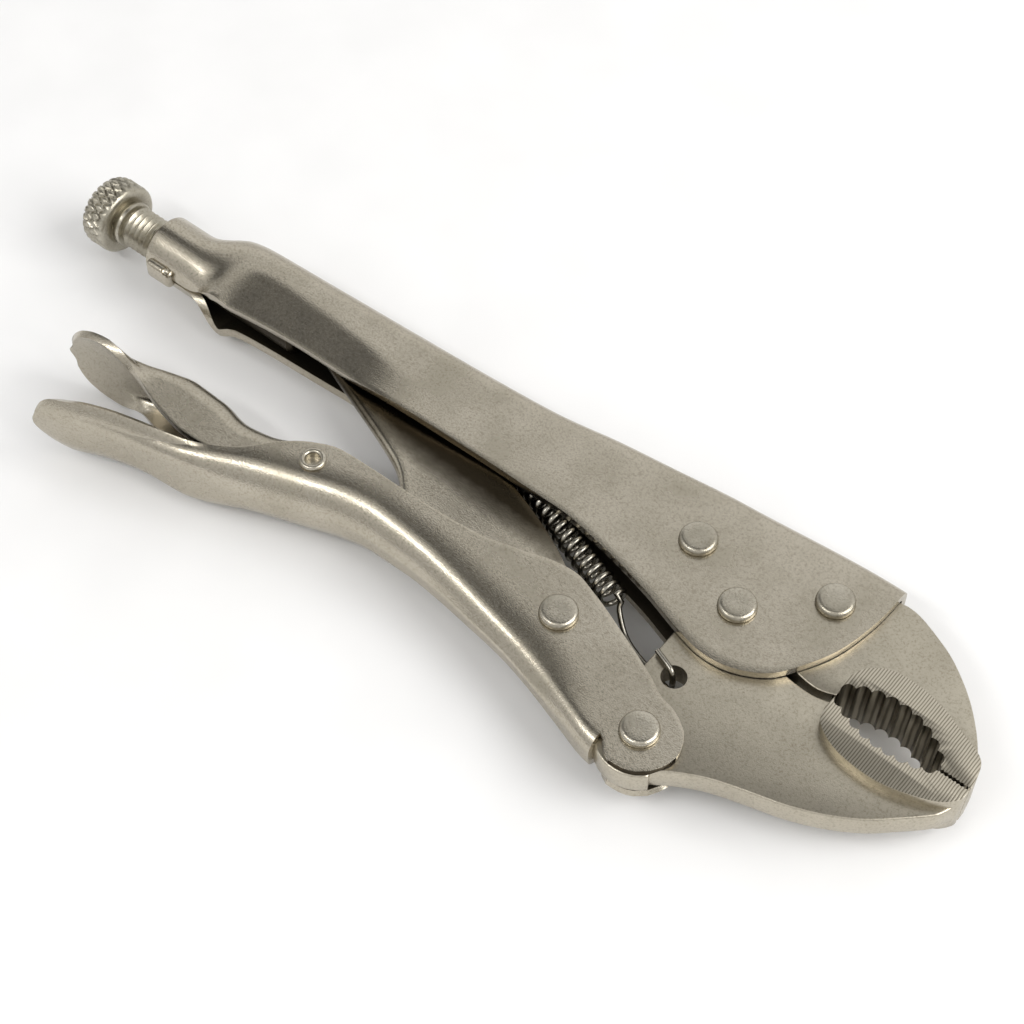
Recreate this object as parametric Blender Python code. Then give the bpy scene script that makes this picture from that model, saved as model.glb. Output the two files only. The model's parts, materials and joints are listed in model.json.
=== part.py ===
"""Locking pliers with curved jaws, modelled as separate stamped, forged and riveted pieces.

The tool lies on its side.  +X runs along the adjusting screw towards the jaws, +Y points from the
lower handle to the body, and +Z is the axis direction of every pivot.  The origin is on the jaw
pivot's axis, on the flat of its lower rivet head.  Sizes are in millimetres until a mesh is made.
"""
import math

import bmesh
import bpy
from mathutils import Matrix, Vector

MM = 0.001

# --- clearances ---------------------------------------------------------------------------
FIT = 0.3                 # between neighbours, and round every shaft in its hole
OPEN_PIVOT_GAP = 2.8      # between the screw's tip and the link's nose, jaws closed

# --- plates and sheet ---------------------------------------------------------------------
JAW_PLATE = 6.0           # thickness of both jaw plates
BAND_WIDTH = 11.4         # thickness of the jaws along their teeth
SHEET = 2.0               # body and lower handle
LINK_SHEET = 1.8
LEVER_SHEET = 1.8

# --- overall sizes ------------------------------------------------------------------------
BODY_REACH = 169.6        # jaw pivot to the rear end of the body's screw tube
BODY_NOSE = 25.7          # jaw pivot to the body's front edge
HANDLE_REACH = 158.2      # handle pivot to the tip of the lower handle
JAW_REACH = 61.8          # jaw pivot to the tips of the jaws
WEB_END = 6.0             # handle pivot to the front end of the handle's web
TAIL_HALF = 9.3           # half width of the lower handle's blade
PADDLE_HALF = 11.2        # half width of the release lever's paddle
PADDLE_REACH = 70.9       # release lever's pivot to the tip of its paddle

# --- pivots, all with axes along Z, as (x, y) ---------------------------------------------
JAW_PIVOT = (0.0, 0.0)
HANDLE_PIVOT = (2.1, -37.1)
LINK_PIVOT = (HANDLE_PIVOT[0] - 0.19216 * HANDLE_REACH, -25.2)
LEVER_PIVOT = (HANDLE_PIVOT[0] - 0.606 * HANDLE_REACH, -29.7)
LINK_NOSE = (-118.0, 0.9)         # centre of the link's round end
REAR_RIVET = (-16.5, 8.6)         # the two rivets that hold the fixed jaw
FRONT_RIVET = (15.6, 13.9)
SPRING_HOLE = (-0.8, -21.2)

# --- rivets -------------------------------------------------------------------------------
PIVOT_R = 3.0
HEAD_R = 4.35
HEAD_HEIGHT = 1.5
HEAD_FLAT_R = 2.6
EYELET_R = 2.3
EYELET_BORE_R = 1.7
EYELET_FLANGE_R = 3.0
EYELET_FLANGE = 0.6

# --- adjusting screw ----------------------------------------------------------------------
SCREW_R = 4.8
SCREW_Y = LINK_NOSE[1]
TUBE_WALL = 2.3
TUBE_LENGTH = 20.6
THREAD_SHOWN = 11.0       # bare thread between the tube and the knob's collar
COLLAR_R = 5.8
COLLAR_LENGTH = 2.1
KNOB_R = 8.9
KNOB_LENGTH = 9.6
KNOB_DOME = 3.4           # depth of its domed end
LUG_HALF = 2.3            # half width of the hemmed lug under the tube
LUG_DEPTH = 1.9

# --- link, spring -------------------------------------------------------------------------
LINK_EYE_R = 6.3
LINK_NOSE_R = 4.2
LINK_BEND = 2.2           # outer radius of its two folds
SPRING_HOLE_R = 2.85
COIL_R = 2.35             # to the centre of the wire
WIRE_R = 0.6
COIL_PITCH = 2.7
COIL_START = (-22.9, -12.2)       # jaw end of the coil's axis
COIL_TAIL = 9.0                   # from the last coil to the tab
SPRING_TAB = (-86.0, 11.4)        # centre of the hole in the body's spring tab
TAB_HOLE_R = 1.5
TAB_HALF = 3.0                    # half width of the tab
TAB_THICK = 1.8
TAB_EDGE = 1.4                    # metal left below its hole

# --- jaws ---------------------------------------------------------------------------------
JAW_LOBE_R = 9.7          # round the jaw pivot
HANDLE_LOBE_R = 9.5       # round the handle pivot
TEETH_START = 28.4        # where the toothed band begins, from the jaw pivot
TIP_LENGTH = 7.0          # straight tips ahead of the curved teeth
TIP_Y = -6.5              # where the closed tips meet
TIP_GAP = 0.4             # between the closed tips
PARTING_Y = -4.3          # line between the jaws behind their teeth
PLATE_SET_BACK = 1.4      # from the roots of the teeth to the plate inside the band
TOOTH_COUNT = 9
TOOTH_DEPTH = 1.0
TOOTH_STEPS = 6

# --- worked out from the sizes above ------------------------------------------------------
PLATE_HALF = JAW_PLATE / 2
GRIP_HALF = PLATE_HALF + FIT + SHEET          # half width of body and handle at the jaws
HEAD_TOP = GRIP_HALF + FIT + HEAD_HEIGHT
MID_Z = HEAD_TOP                              # height of the tool's middle plane
TUBE_R = SCREW_R + FIT + TUBE_WALL
TUBE_FRONT = TUBE_LENGTH - BODY_REACH
BAND_HALF = BAND_WIDTH / 2

NICKEL = (0.44, 0.42, 0.37, 1.0)
STEEL = (0.38, 0.37, 0.34, 1.0)
SPRING_STEEL = (0.30, 0.30, 0.29, 1.0)


# --- small geometry helpers ---------------------------------------------------------------
def interpolate(rows, x):
    """Row of values at x, by monotone cubics through rows of (x, value, value, ...)."""
    xs = [row[0] for row in rows]
    span = next((i for i in range(len(xs) - 2) if x < xs[i + 1]), len(xs) - 2)
    width = xs[span + 1] - xs[span]
    t = (x - xs[span]) / width
    result = []
    for column in range(1, len(rows[0])):
        values = [row[column] for row in rows]

        def slope(i):
            if i in (0, len(xs) - 1):
                return 0.0 if i else (values[1] - values[0]) / (xs[1] - xs[0])
            left = (values[i] - values[i - 1]) / (xs[i] - xs[i - 1])
            right = (values[i + 1] - values[i]) / (xs[i + 1] - xs[i])
            return 0.0 if left * right <= 0 else 2 * left * right / (left + right)

        a, b = values[span], values[span + 1]
        m0, m1 = slope(span) * width, slope(span + 1) * width
        result.append((2 * t**3 - 3 * t**2 + 1) * a + (t**3 - 2 * t**2 + t) * m0
                      + (3 * t**2 - 2 * t**3) * b + (t**3 - t**2) * m1)
    return result


def stations(rows, step):
    """Rows at every control point and about every step between them."""
    out = []
    for near, far in zip(rows, rows[1:]):
        count = max(1, round((far[0] - near[0]) / step))
        for i in range(count):
            x = near[0] + (far[0] - near[0]) * i / count
            out.append((x, *interpolate(rows, x)))
    out.append(rows[-1])
    return out


def arc(centre, radius, start, end, steps):
    """Points on a circle from start to end, in degrees."""
    return [(centre[0] + radius * math.cos(math.radians(start + (end - start) * i / steps)),
             centre[1] + radius * math.sin(math.radians(start + (end - start) * i / steps)))
            for i in range(steps + 1)]


def curve_through(points, steps):
    """Catmull-Rom curve through points, ends included."""
    ends = [points[0]] + list(points) + [points[-1]]
    out = []
    for p0, p1, p2, p3 in zip(ends, ends[1:], ends[2:], ends[3:]):
        for i in range(steps):
            t = i / steps
            out.append(tuple(0.5 * (2 * b + (c - a) * t + (2 * a - 5 * b + 4 * c - d) * t**2
                                    + (3 * b - a - 3 * c + d) * t**3)
                             for a, b, c, d in zip(p0, p1, p2, p3)))
    out.append(tuple(points[-1]))
    return out


def towards(centre, point):
    """Direction in degrees from centre to point."""
    return math.degrees(math.atan2(point[1] - centre[1], point[0] - centre[0]))


# --- Blender helpers ----------------------------------------------------------------------
def clear_scene():
    for item in list(bpy.data.objects):
        bpy.data.objects.remove(item, do_unlink=True)


def metal(name, colour, roughness):
    material = bpy.data.materials.new(name)
    material.use_nodes = True
    shader = material.node_tree.nodes["Principled BSDF"]
    shader.inputs["Base Color"].default_value = colour
    shader.inputs["Roughness"].default_value = roughness
    shader.inputs["Metallic"].default_value = 1.0
    return material


def finish_mesh(name, shape, pivot=(0.0, 0.0), material=None):
    """Make an object from a bmesh in millimetres, with its origin on the pivot's axis."""
    bmesh.ops.recalc_face_normals(shape, faces=shape.faces)
    origin = Vector((pivot[0], pivot[1], 0.0))
    bmesh.ops.translate(shape, verts=shape.verts, vec=-origin)
    bmesh.ops.scale(shape, verts=shape.verts, vec=(MM, MM, MM))
    mesh = bpy.data.meshes.new(name)
    shape.to_mesh(mesh)
    shape.free()
    item = bpy.data.objects.new(name, mesh)
    bpy.context.collection.objects.link(item)
    item.location = (pivot[0] * MM, pivot[1] * MM, MID_Z * MM)
    if material:
        mesh.materials.append(material)
    mesh.shade_smooth()
    mesh.set_sharp_from_angle(angle=math.radians(32))
    return item


def prism(outline, bottom, top):
    """Closed bmesh with the outline in XY, from bottom to top in Z."""
    shape = bmesh.new()
    verts = [shape.verts.new((x, y, bottom)) for x, y in outline]
    face = shape.faces.new(verts)
    made = bmesh.ops.extrude_face_region(shape, geom=[face])
    moved = [v for v in made["geom"] if isinstance(v, bmesh.types.BMVert)]
    bmesh.ops.translate(shape, verts=moved, vec=(0, 0, top - bottom))
    return shape


def turned(profile, segments=24):
    """Closed bmesh turned round Z from (radius, z) pairs; the ends lie on the axis."""
    shape = bmesh.new()
    rings = []
    for radius, z in profile:
        if radius < 1e-6:
            rings.append([shape.verts.new((0, 0, z))])
            continue
        rings.append([shape.verts.new((radius * math.cos(2 * math.pi * i / segments),
                                       radius * math.sin(2 * math.pi * i / segments), z))
                      for i in range(segments)])
    for low, high in zip(rings, rings[1:]):
        for i in range(segments):
            j = (i + 1) % segments
            corners = [low[i % len(low)], low[j % len(low)], high[j % len(high)], high[i % len(high)]]
            shape.faces.new(list(dict.fromkeys(corners)))
    return shape


def along_x(shape, x, y):
    """Turn a shape made round Z so that its axis runs along +X through (x, y)."""
    bmesh.ops.rotate(shape, verts=shape.verts, matrix=Matrix.Rotation(math.radians(90), 3, "Y"))
    bmesh.ops.translate(shape, verts=shape.verts, vec=(x, y, 0))
    return shape


def move(shape, x, y, z=0.0):
    bmesh.ops.translate(shape, verts=shape.verts, vec=(x, y, z))
    return shape


def cylinder(radius, low, high, segments=24):
    return turned([(0, low), (radius, low), (radius, high), (0, high)], segments)


def combine(item, shape, operation, pivot=(0.0, 0.0)):
    """Apply an exact Boolean of a bmesh to an object, and drop the tool."""
    tool = finish_mesh("tool", shape, pivot)
    tool.hide_render = True
    tool.display_type = "WIRE"
    modifier = item.modifiers.new(operation.lower(), "BOOLEAN")
    modifier.operation = operation
    modifier.solver = "EXACT"
    modifier.object = tool
    bpy.context.view_layer.update()
    evaluated = item.evaluated_get(bpy.context.evaluated_depsgraph_get())
    mesh = bpy.data.meshes.new_from_object(evaluated)
    mesh.name = item.name
    item.modifiers.clear()
    item.data = mesh
    mesh.set_sharp_from_angle(angle=math.radians(32))
    bpy.data.objects.remove(tool, do_unlink=True)


def drill(item, centre, radius, segments=24, half=20.0):
    """Cut a round hole along Z through an object."""
    combine(item, move(cylinder(radius, -half, half, segments), *centre), "DIFFERENCE")


# --- the folded sheet channel -------------------------------------------------------------
def channel_section(x, web, edge, half, radius, sheet, steps=4):
    """U section across X: the web's outer face is at y = web, the rims are at y = edge."""
    side = 1 if web > edge else -1
    depth = abs(web - edge)
    outer_r = min(radius, half * 0.9, depth * 0.8)
    inner_r = max(outer_r - sheet, 0.25)
    inner_half = max(half - sheet, 0.4)
    inner_r = min(inner_r, inner_half * 0.8, max(depth - sheet, 0.3) * 0.8)
    inner_web = web - side * min(sheet, depth - 0.3)
    loops = []
    for span, line, bend in ((half, web, outer_r), (inner_half, inner_web, inner_r)):
        near = [(x, edge, span)]
        for i in range(steps + 1):
            angle = math.pi / 2 * i / steps
            near.append((x, line - side * bend * (1 - math.sin(angle)),
                         span - bend * (1 - math.cos(angle))))
        loops.append(near + [(x, y, -z) for x, y, z in reversed(near)])
    return loops[0] + loops[1][::-1]


def channel(rows, sheet, step=5.0):
    """Closed bmesh of a folded channel; rows are (x, web, edge, half width, bend radius)."""
    shape = bmesh.new()
    rings = [[shape.verts.new(point) for point in channel_section(*row, sheet)]
             for row in stations(rows, step)]
    for ring, following in zip(rings, rings[1:]):
        for i in range(len(ring)):
            j = (i + 1) % len(ring)
            shape.faces.new((ring[i], ring[j], following[j], following[i]))
    shape.faces.new(rings[0])
    shape.faces.new(rings[-1])
    return shape


# --- body ---------------------------------------------------------------------------------
def body_rows():
    """Channel rows of the body: web and rim lines, half width and bend radius along X."""
    tube_top = SCREW_Y + TUBE_R
    bulge = SCREW_R + FIT + SHEET - GRIP_HALF + 0.05     # so that the screw clears the walls
    behind = (
        # fraction of the reach, web y, rim y, widening, bend radius
        (0.900, tube_top + 1.2, -5.8, 2.00, 6.6),
        (0.880, tube_top + 3.4, -7.4, bulge, 5.2),
        (0.858, tube_top + 4.7, -7.7, bulge, 4.4),
        (0.812, tube_top + 5.3, -6.4, bulge, 4.0),
        (0.730, tube_top + 5.9, -5.4, bulge, 4.0),
        (0.614, tube_top + 7.1, -4.8, 1.10, 3.8),
        (0.461, tube_top + 8.4, -4.0, 0.70, 3.4),
        (0.365, tube_top + 9.7, -3.7, 0.35, 3.2),
        (0.270, tube_top + 12.3, -3.7, 0.10, 3.0),
        (0.187, tube_top + 14.0, -5.6, 0.0, 3.0),
    )
    ahead = (
        # x, web y, rim y
        (-16.0, 23.8, -9.4),
        (-5.0, 24.8, -12.9),
        (1.5, 25.2, -14.0),
        (8.0, 25.7, -13.0),
        (14.4, 26.1, -9.5),
        (18.4, 26.5, -4.4),
        (BODY_NOSE - 2.8, 26.8, 4.5),
        (BODY_NOSE - 0.7, 26.9, 16.2),
        (BODY_NOSE, 26.9, 24.2),
    )
    rows = [(-share * BODY_REACH, web, rim, GRIP_HALF + wide, bend)
            for share, web, rim, wide, bend in behind]
    return rows + [(x, web, rim, GRIP_HALF, 3.0) for x, web, rim in ahead]


def spring_axis():
    """Unit vector from the coil's jaw end to the spring tab, and the distance."""
    run = (SPRING_TAB[0] - COIL_START[0], SPRING_TAB[1] - COIL_START[1])
    length = math.hypot(*run)
    return (run[0] / length, run[1] / length), length


def make_body(material):
    body = finish_mesh("handle_body", channel(body_rows(), SHEET), material=material)
    top = interpolate(body_rows(), SPRING_TAB[0])[0] - SHEET / 2
    bottom = SPRING_TAB[1] - TAB_HOLE_R - TAB_EDGE
    rear_face, front_face = SPRING_TAB[0] - TAB_THICK / 2, SPRING_TAB[0] + TAB_THICK / 2
    tab = [(rear_face, top), (rear_face, bottom), (front_face, bottom), (front_face, top)]
    combine(body, prism(tab, -TAB_HALF, TAB_HALF), "UNION")
    tab_hole = cylinder(TAB_HOLE_R, -2 * TAB_THICK, 2 * TAB_THICK, 16)
    combine(body, along_x(tab_hole, *SPRING_TAB), "DIFFERENCE")
    for centre in (JAW_PIVOT, REAR_RIVET, FRONT_RIVET):
        drill(body, centre, PIVOT_R + FIT)
    rear, under = -BODY_REACH, SCREW_Y - TUBE_R
    combine(body, along_x(cylinder(TUBE_R, rear, TUBE_FRONT, 32), 0, SCREW_Y), "UNION")
    lug = [(rear + 0.8, under + 1.6), (rear + 0.8, under - 0.4), (rear + 2.6, under - LUG_DEPTH + 0.2),
           (rear + 9.0, under - LUG_DEPTH), (rear + 11.0, under - 0.6), (rear + 11.0, under + 1.6)]
    combine(body, prism(lug, -LUG_HALF, LUG_HALF), "UNION")
    bore = along_x(cylinder(SCREW_R + FIT, rear - 2.0, TUBE_FRONT + 1.0, 32), 0, SCREW_Y)
    combine(body, bore, "DIFFERENCE")
    return body


# --- jaws ---------------------------------------------------------------------------------
def toothed_arc(start, end, rise, side):
    """Toothed line from start to end along an arc; side +1 cuts the grooves upwards."""
    chord = (end[0] - start[0], end[1] - start[1])
    length = math.hypot(*chord)
    radius = (length**2 / 4 + rise**2) / (2 * rise)
    unit = (chord[0] / length, chord[1] / length)
    normal = (-unit[1] * side, unit[0] * side)
    middle = ((start[0] + end[0]) / 2, (start[1] + end[1]) / 2)
    centre = (middle[0] - normal[0] * (radius - rise), middle[1] - normal[1] * (radius - rise))
    half_angle = math.asin(length / 2 / radius)
    points = []
    total = TOOTH_COUNT * TOOTH_STEPS
    for i in range(total + 1):
        swing = half_angle * (2 * i / total - 1)
        groove = TOOTH_DEPTH * abs(math.sin(math.pi * i / TOOTH_STEPS))
        reach = radius + groove
        points.append((centre[0] + reach * (unit[0] * math.sin(swing) + normal[0] * math.cos(swing)),
                       centre[1] + reach * (unit[1] * math.sin(swing) + normal[1] * math.cos(swing))))
    return points


def fixed_teeth():
    end = (JAW_REACH - TIP_LENGTH - 0.6, TIP_Y + TIP_GAP / 2 + 1.1)
    return toothed_arc((TEETH_START, -3.0), end, 5.2, 1)


def moving_teeth():
    end = (JAW_REACH - TIP_LENGTH - 0.6, TIP_Y - TIP_GAP / 2 - 0.3)
    return toothed_arc((TEETH_START + 0.2, -5.2), end, 4.3, -1)


def along_jaw(points):
    """Points given as (share of the length from the first tooth to the tip, y)."""
    return [(TEETH_START + share * (JAW_REACH - TEETH_START), y) for share, y in points]


def make_fixed_jaw(material):
    tip = JAW_REACH
    meet = TIP_Y + TIP_GAP / 2
    lobe = JAW_LOBE_R + FIT + 0.2
    inside = 22.6                                        # y of the plate under the body's web
    crown = curve_through(along_jaw([(-0.024, 24.4), (0.081, 23.9), (0.260, 21.6), (0.425, 18.8),
                                     (0.623, 13.8), (0.784, 8.2), (0.898, 2.9), (0.964, -1.6),
                                     (1.0, meet + 1.0)]), 3)
    hidden = [(REAR_RIVET[0] - 6.2, REAR_RIVET[1] + 1.5), (REAR_RIVET[0] - 5.4, REAR_RIVET[1] + 6.0),
              (REAR_RIVET[0] + 1.0, inside - 3.6), (-6.0, inside - 1.6), (8.0, inside),
              (BODY_NOSE - 3.0, inside + 1.0)]
    lower = [(REAR_RIVET[0] - 5.0, REAR_RIVET[1] - 3.6), (REAR_RIVET[0] - 1.5, REAR_RIVET[1] - 5.6)]
    around = arc(JAW_PIVOT, lobe, 168, 5, 12)
    bottom = [(19.0, PARTING_Y + FIT), (27.4, PARTING_Y + FIT + 0.6)]
    plate_teeth = [(x, y + PLATE_SET_BACK) for x, y in fixed_teeth()[::TOOTH_STEPS]]
    outline = (lower + around + bottom + plate_teeth
               + [(tip - 4.0, meet + 1.0), (tip - 0.6, meet + 1.0)] + crown[::-1] + hidden[::-1])
    jaw = finish_mesh("fixed_jaw", prism(outline, -PLATE_HALF, PLATE_HALF), material=material)
    band_back = curve_through(along_jaw([(1.0, meet + 0.8), (0.946, 0.6), (0.743, 3.9), (0.554, 6.4),
                                         (0.347, 7.6), (0.171, 7.1), (0.045, 4.2), (-0.006, 0.4)]), 3)
    band = fixed_teeth() + [(tip - TIP_LENGTH, meet), (tip, meet)] + band_back
    combine(jaw, prism(band, -BAND_HALF, BAND_HALF), "UNION")
    for centre in (REAR_RIVET, FRONT_RIVET):
        drill(jaw, centre, PIVOT_R + FIT)
    return jaw


def make_moving_jaw(material):
    tip = JAW_REACH
    meet = TIP_Y - TIP_GAP / 2
    heel = curve_through([(8.4, -42.6), (12.5, -39.6), (19.0, -36.2)]
                         + along_jaw([(-0.042, -33.6), (0.183, -31.4), (0.407, -28.2), (0.617, -23.9),
                                      (0.784, -18.9), (0.898, -14.4)]), 3)
    lobe = arc(HANDLE_PIVOT, HANDLE_LOBE_R, 185, 360 + towards(HANDLE_PIVOT, heel[0]), 10)
    around = arc(JAW_PIVOT, JAW_LOBE_R, -28, 215, 16)
    plate_teeth = [(x, y - PLATE_SET_BACK) for x, y in moving_teeth()[::TOOTH_STEPS]]
    outline = (around + [(-7.5, -12.8), (-7.5, -24.0)] + lobe + heel[1:]
               + [(tip - 0.6, -11.8), (tip - 0.6, meet - 1.0), (tip - 4.0, meet - 1.0)]
               + plate_teeth[::-1] + [(27.4, PARTING_Y - 0.5), (19.0, PARTING_Y - 0.9)])
    jaw = finish_mesh("moving_jaw", prism(outline, -PLATE_HALF, PLATE_HALF), material=material)
    band_back = curve_through(along_jaw([(0.985, meet - 4.3), (0.820, -15.5), (0.599, -17.6),
                                         (0.407, -17.6), (0.198, -16.2), (0.042, -12.8),
                                         (0.0, -9.0)]), 3)
    band = moving_teeth() + [(tip - TIP_LENGTH, meet), (tip, meet)] + band_back
    combine(jaw, prism(band, -BAND_HALF, BAND_HALF), "UNION")
    for centre in (JAW_PIVOT, HANDLE_PIVOT):
        drill(jaw, centre, PIVOT_R + FIT)
    drill(jaw, SPRING_HOLE, SPRING_HOLE_R)
    return jaw


# --- lower handle -------------------------------------------------------------------------
def handle_rows():
    """Channel rows of the lower handle, with its web on the -Y side."""
    behind = (
        # fraction of the reach, web y, rim y, half width less grip half or share of the blade
        (1.000, -56.8, -54.9, 0.26 * TAIL_HALF, 0.8),
        (0.992, -56.5, -54.5, 0.60 * TAIL_HALF, 0.9),
        (0.975, -55.9, -53.7, 0.86 * TAIL_HALF, 1.0),
        (0.951, -55.0, -52.7, 0.97 * TAIL_HALF, 1.2),
        (0.928, -53.7, -50.8, TAIL_HALF, 1.4),
        (0.893, -51.8, -48.6, TAIL_HALF, 1.8),
        (0.822, -49.2, -45.6, TAIL_HALF, 2.4),
        (0.771, -47.9, -43.5, GRIP_HALF + 4.1, 3.0),
        (0.741, -46.8, -41.3, GRIP_HALF + 4.0, 3.4),
        (0.700, -44.8, -37.1, GRIP_HALF + 4.0, 3.6),
        (0.665, -42.8, -30.6, GRIP_HALF + 3.9, 3.6),
        (0.629, -40.8, -26.2, GRIP_HALF + 3.9, 3.6),
        (0.588, -38.6, -23.6, GRIP_HALF + 3.9, 3.6),
        (0.528, -35.6, -23.0, GRIP_HALF + 3.5, 3.5),
        (0.484, -34.5, -22.7, GRIP_HALF + 3.0, 3.4),
        (0.416, -34.5, -22.0, GRIP_HALF + 2.2, 3.2),
        (0.352, -35.3, -20.6, GRIP_HALF + 1.5, 3.0),
        (0.297, -36.5, -18.0, GRIP_HALF + 0.8, 3.0),
        (0.249, -37.6, -15.3, GRIP_HALF + 0.2, 3.0),
        (0.218, -38.5, -14.6, GRIP_HALF, 3.0),
        (0.175, -40.2, -16.4, GRIP_HALF, 3.0),
        (0.102, -43.6, -20.9, GRIP_HALF, 3.0),
        (WEB_END / HANDLE_REACH, -46.9, -25.3, GRIP_HALF, 3.0),
    )
    return [(HANDLE_PIVOT[0] - share * HANDLE_REACH, web, rim, half, bend)
            for share, web, rim, half, bend in behind]


def make_handle(material):
    rows = handle_rows()
    handle = finish_mesh("lower_handle", channel(rows, SHEET), HANDLE_PIVOT, material)
    web_end = rows[-1][0]
    lap = rows[-2][0] + 2.0                              # the side plates start inside the channel
    lap_web, lap_rim = interpolate(rows, lap)[:2]
    upper = curve_through([(lap, lap_rim), (web_end, rows[-1][2]), (0.9, -27.7), (6.4, -29.4)], 3)
    lobe = arc(HANDLE_PIVOT, HANDLE_LOBE_R, towards(HANDLE_PIVOT, (9.6, -31.4)), -115, 12)
    outline = upper[:-1] + lobe + [(web_end, interpolate(rows, web_end - 1.0)[0] + 3.2),
                                   (lap, lap_web + 3.4)]
    for side in (-1, 1):
        low, high = sorted((side * (GRIP_HALF - SHEET), side * GRIP_HALF))
        combine(handle, prism(outline, low, high), "UNION")
    for centre in (HANDLE_PIVOT, LINK_PIVOT):
        drill(handle, centre, PIVOT_R + FIT)
    drill(handle, LEVER_PIVOT, EYELET_R + FIT)
    return handle


# --- toggle link --------------------------------------------------------------------------
def make_link(material):
    """U channel with its web along the rear lower side, from the link pivot to the nose."""
    eye, nose = LINK_PIVOT, LINK_NOSE
    front = curve_through([(eye[0] + 1.5, eye[1] + LINK_EYE_R - 0.2), (eye[0] - 10.5, -13.0),
                           (-50.0, -8.6), (-63.0, -3.4), (-80.0, 2.6), (-98.0, 4.6),
                           (nose[0] + 1.0, nose[1] + LINK_NOSE_R)], 3)
    end = arc(nose, LINK_NOSE_R, 85, 245, 8)
    back = curve_through([(nose[0] + 3.0, nose[1] - 3.6), (-102.2, -7.4), (-87.0, -13.3),
                          (-80.5, -16.9), (-74.5, -22.4), (-66.0, -25.9),
                          (-56.0, -28.6), (-42.0, -31.0), (eye[0] - 1.0, eye[1] - LINK_EYE_R)], 3)
    around = arc(eye, LINK_EYE_R, -90, 80, 8)
    outline = front + end[1:-1] + back[:-1] + around
    shape = prism(outline, -PLATE_HALF, PLATE_HALF)
    folded = {(round(x, 3), round(y, 3)) for x, y in back}
    bends = [edge for edge in shape.edges
             if all((round(v.co.x, 3), round(v.co.y, 3)) in folded for v in edge.verts)
             and edge.verts[0].co.z == edge.verts[1].co.z]
    bmesh.ops.bevel(shape, geom=bends, offset=LINK_BEND, segments=3, profile=0.5, affect="EDGES")
    link = finish_mesh("toggle_link", shape, eye, material)
    inner = PLATE_HALF - LINK_SHEET
    clear = LINK_SHEET
    hollow = ([(x + 0.4 * clear, y + clear) for x, y in back[1:-1]]
              + [(eye[0] + LINK_EYE_R + 4.0, eye[1] - LINK_EYE_R + clear),
                 (eye[0] + LINK_EYE_R + 4.0, 12.0), (nose[0] + LINK_NOSE_R + 3.0, 12.0),
                 (nose[0] + LINK_NOSE_R + 3.0, nose[1] - 1.0)])
    combine(link, prism(hollow, -inner, inner), "DIFFERENCE")
    drill(link, eye, PIVOT_R + FIT)
    return link


# --- release lever ------------------------------------------------------------------------
def lever_rows():
    """Channel rows of the release lever: a dished paddle that folds up into a channel."""
    tip = LEVER_PIVOT[0] - PADDLE_REACH
    neck = LEVER_PIVOT[0]
    wide = interpolate(handle_rows(), neck)[2] - SHEET - FIT     # half width inside the handle
    return [
        (tip, -35.6, -37.6, 0.28 * PADDLE_HALF, 0.8),
        (tip + 1.6, -35.2, -37.3, 0.58 * PADDLE_HALF, 0.9),
        (tip + 4.6, -34.5, -36.9, 0.83 * PADDLE_HALF, 1.0),
        (tip + 9.0, -33.6, -36.6, 0.97 * PADDLE_HALF, 1.2),
        (tip + 13.0, -33.0, -36.5, PADDLE_HALF, 1.6),
        (neck - 53.0, -32.3, -36.8, 0.91 * PADDLE_HALF, 2.0),
        (neck - 48.5, -31.0, -36.2, wide + 1.7, 2.6),
        (neck - 43.5, -28.4, -35.0, wide + 0.6, 3.0),
        (neck - 38.0, -26.9, -34.2, wide + 0.2, 3.4),
        (neck - 29.0, -27.2, -34.2, wide, 3.4),
        (neck - 21.0, -28.6, -35.2, wide, 3.4),
        (neck - 13.5, -27.6, -35.4, wide, 3.2),
        (neck - 6.5, -25.2, -35.0, wide - 0.1, 3.0),
        (neck, -24.4, -34.4, wide - 0.2, 3.0),
        (neck + 13.0, -25.4, -31.6, wide - 1.1, 2.6),
        (neck + 23.0, -27.0, -30.6, wide - 2.3, 2.0),
    ]


def make_lever(material):
    lever = finish_mesh("release_lever", channel(lever_rows(), LEVER_SHEET), LEVER_PIVOT, material)
    drill(lever, LEVER_PIVOT, EYELET_R + FIT)
    return lever


# --- rivets -------------------------------------------------------------------------------
def make_rivet(name, centre, material):
    """Solid rivet with a bevelled, hammered head on each side."""
    seat, top = GRIP_HALF + FIT, HEAD_TOP
    head = [(HEAD_R, seat), (HEAD_R, seat + 0.45), (HEAD_R - 0.35, seat + 0.95),
            (HEAD_FLAT_R + 0.6, top - 0.1), (HEAD_FLAT_R, top), (0, top)]
    upper = [(PIVOT_R, seat)] + head
    profile = [(r, -z) for r, z in reversed(upper)] + upper
    return finish_mesh(name, move(turned(profile), *centre), centre, material)


def make_eyelet(material):
    """Tubular rivet of the release lever, open right through."""
    seat = interpolate(handle_rows(), LEVER_PIVOT[0])[2] + FIT
    top = seat + EYELET_FLANGE
    outside = [(EYELET_R, seat), (EYELET_FLANGE_R, seat), (EYELET_FLANGE_R, top - 0.25),
               (EYELET_FLANGE_R - 0.35, top), (EYELET_BORE_R + 0.35, top), (EYELET_BORE_R, top - 0.4)]
    loop = [(r, -z) for r, z in reversed(outside)] + outside
    shape = bmesh.new()
    segments = 24
    rings = [[shape.verts.new((r * math.cos(2 * math.pi * i / segments),
                               r * math.sin(2 * math.pi * i / segments), z))
              for i in range(segments)] for r, z in loop]
    for ring, following in zip(rings, rings[1:] + rings[:1]):
        for i in range(segments):
            j = (i + 1) % segments
            shape.faces.new((ring[i], ring[j], following[j], following[i]))
    return finish_mesh("lever_eyelet", move(shape, *LEVER_PIVOT), LEVER_PIVOT, material)


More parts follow.
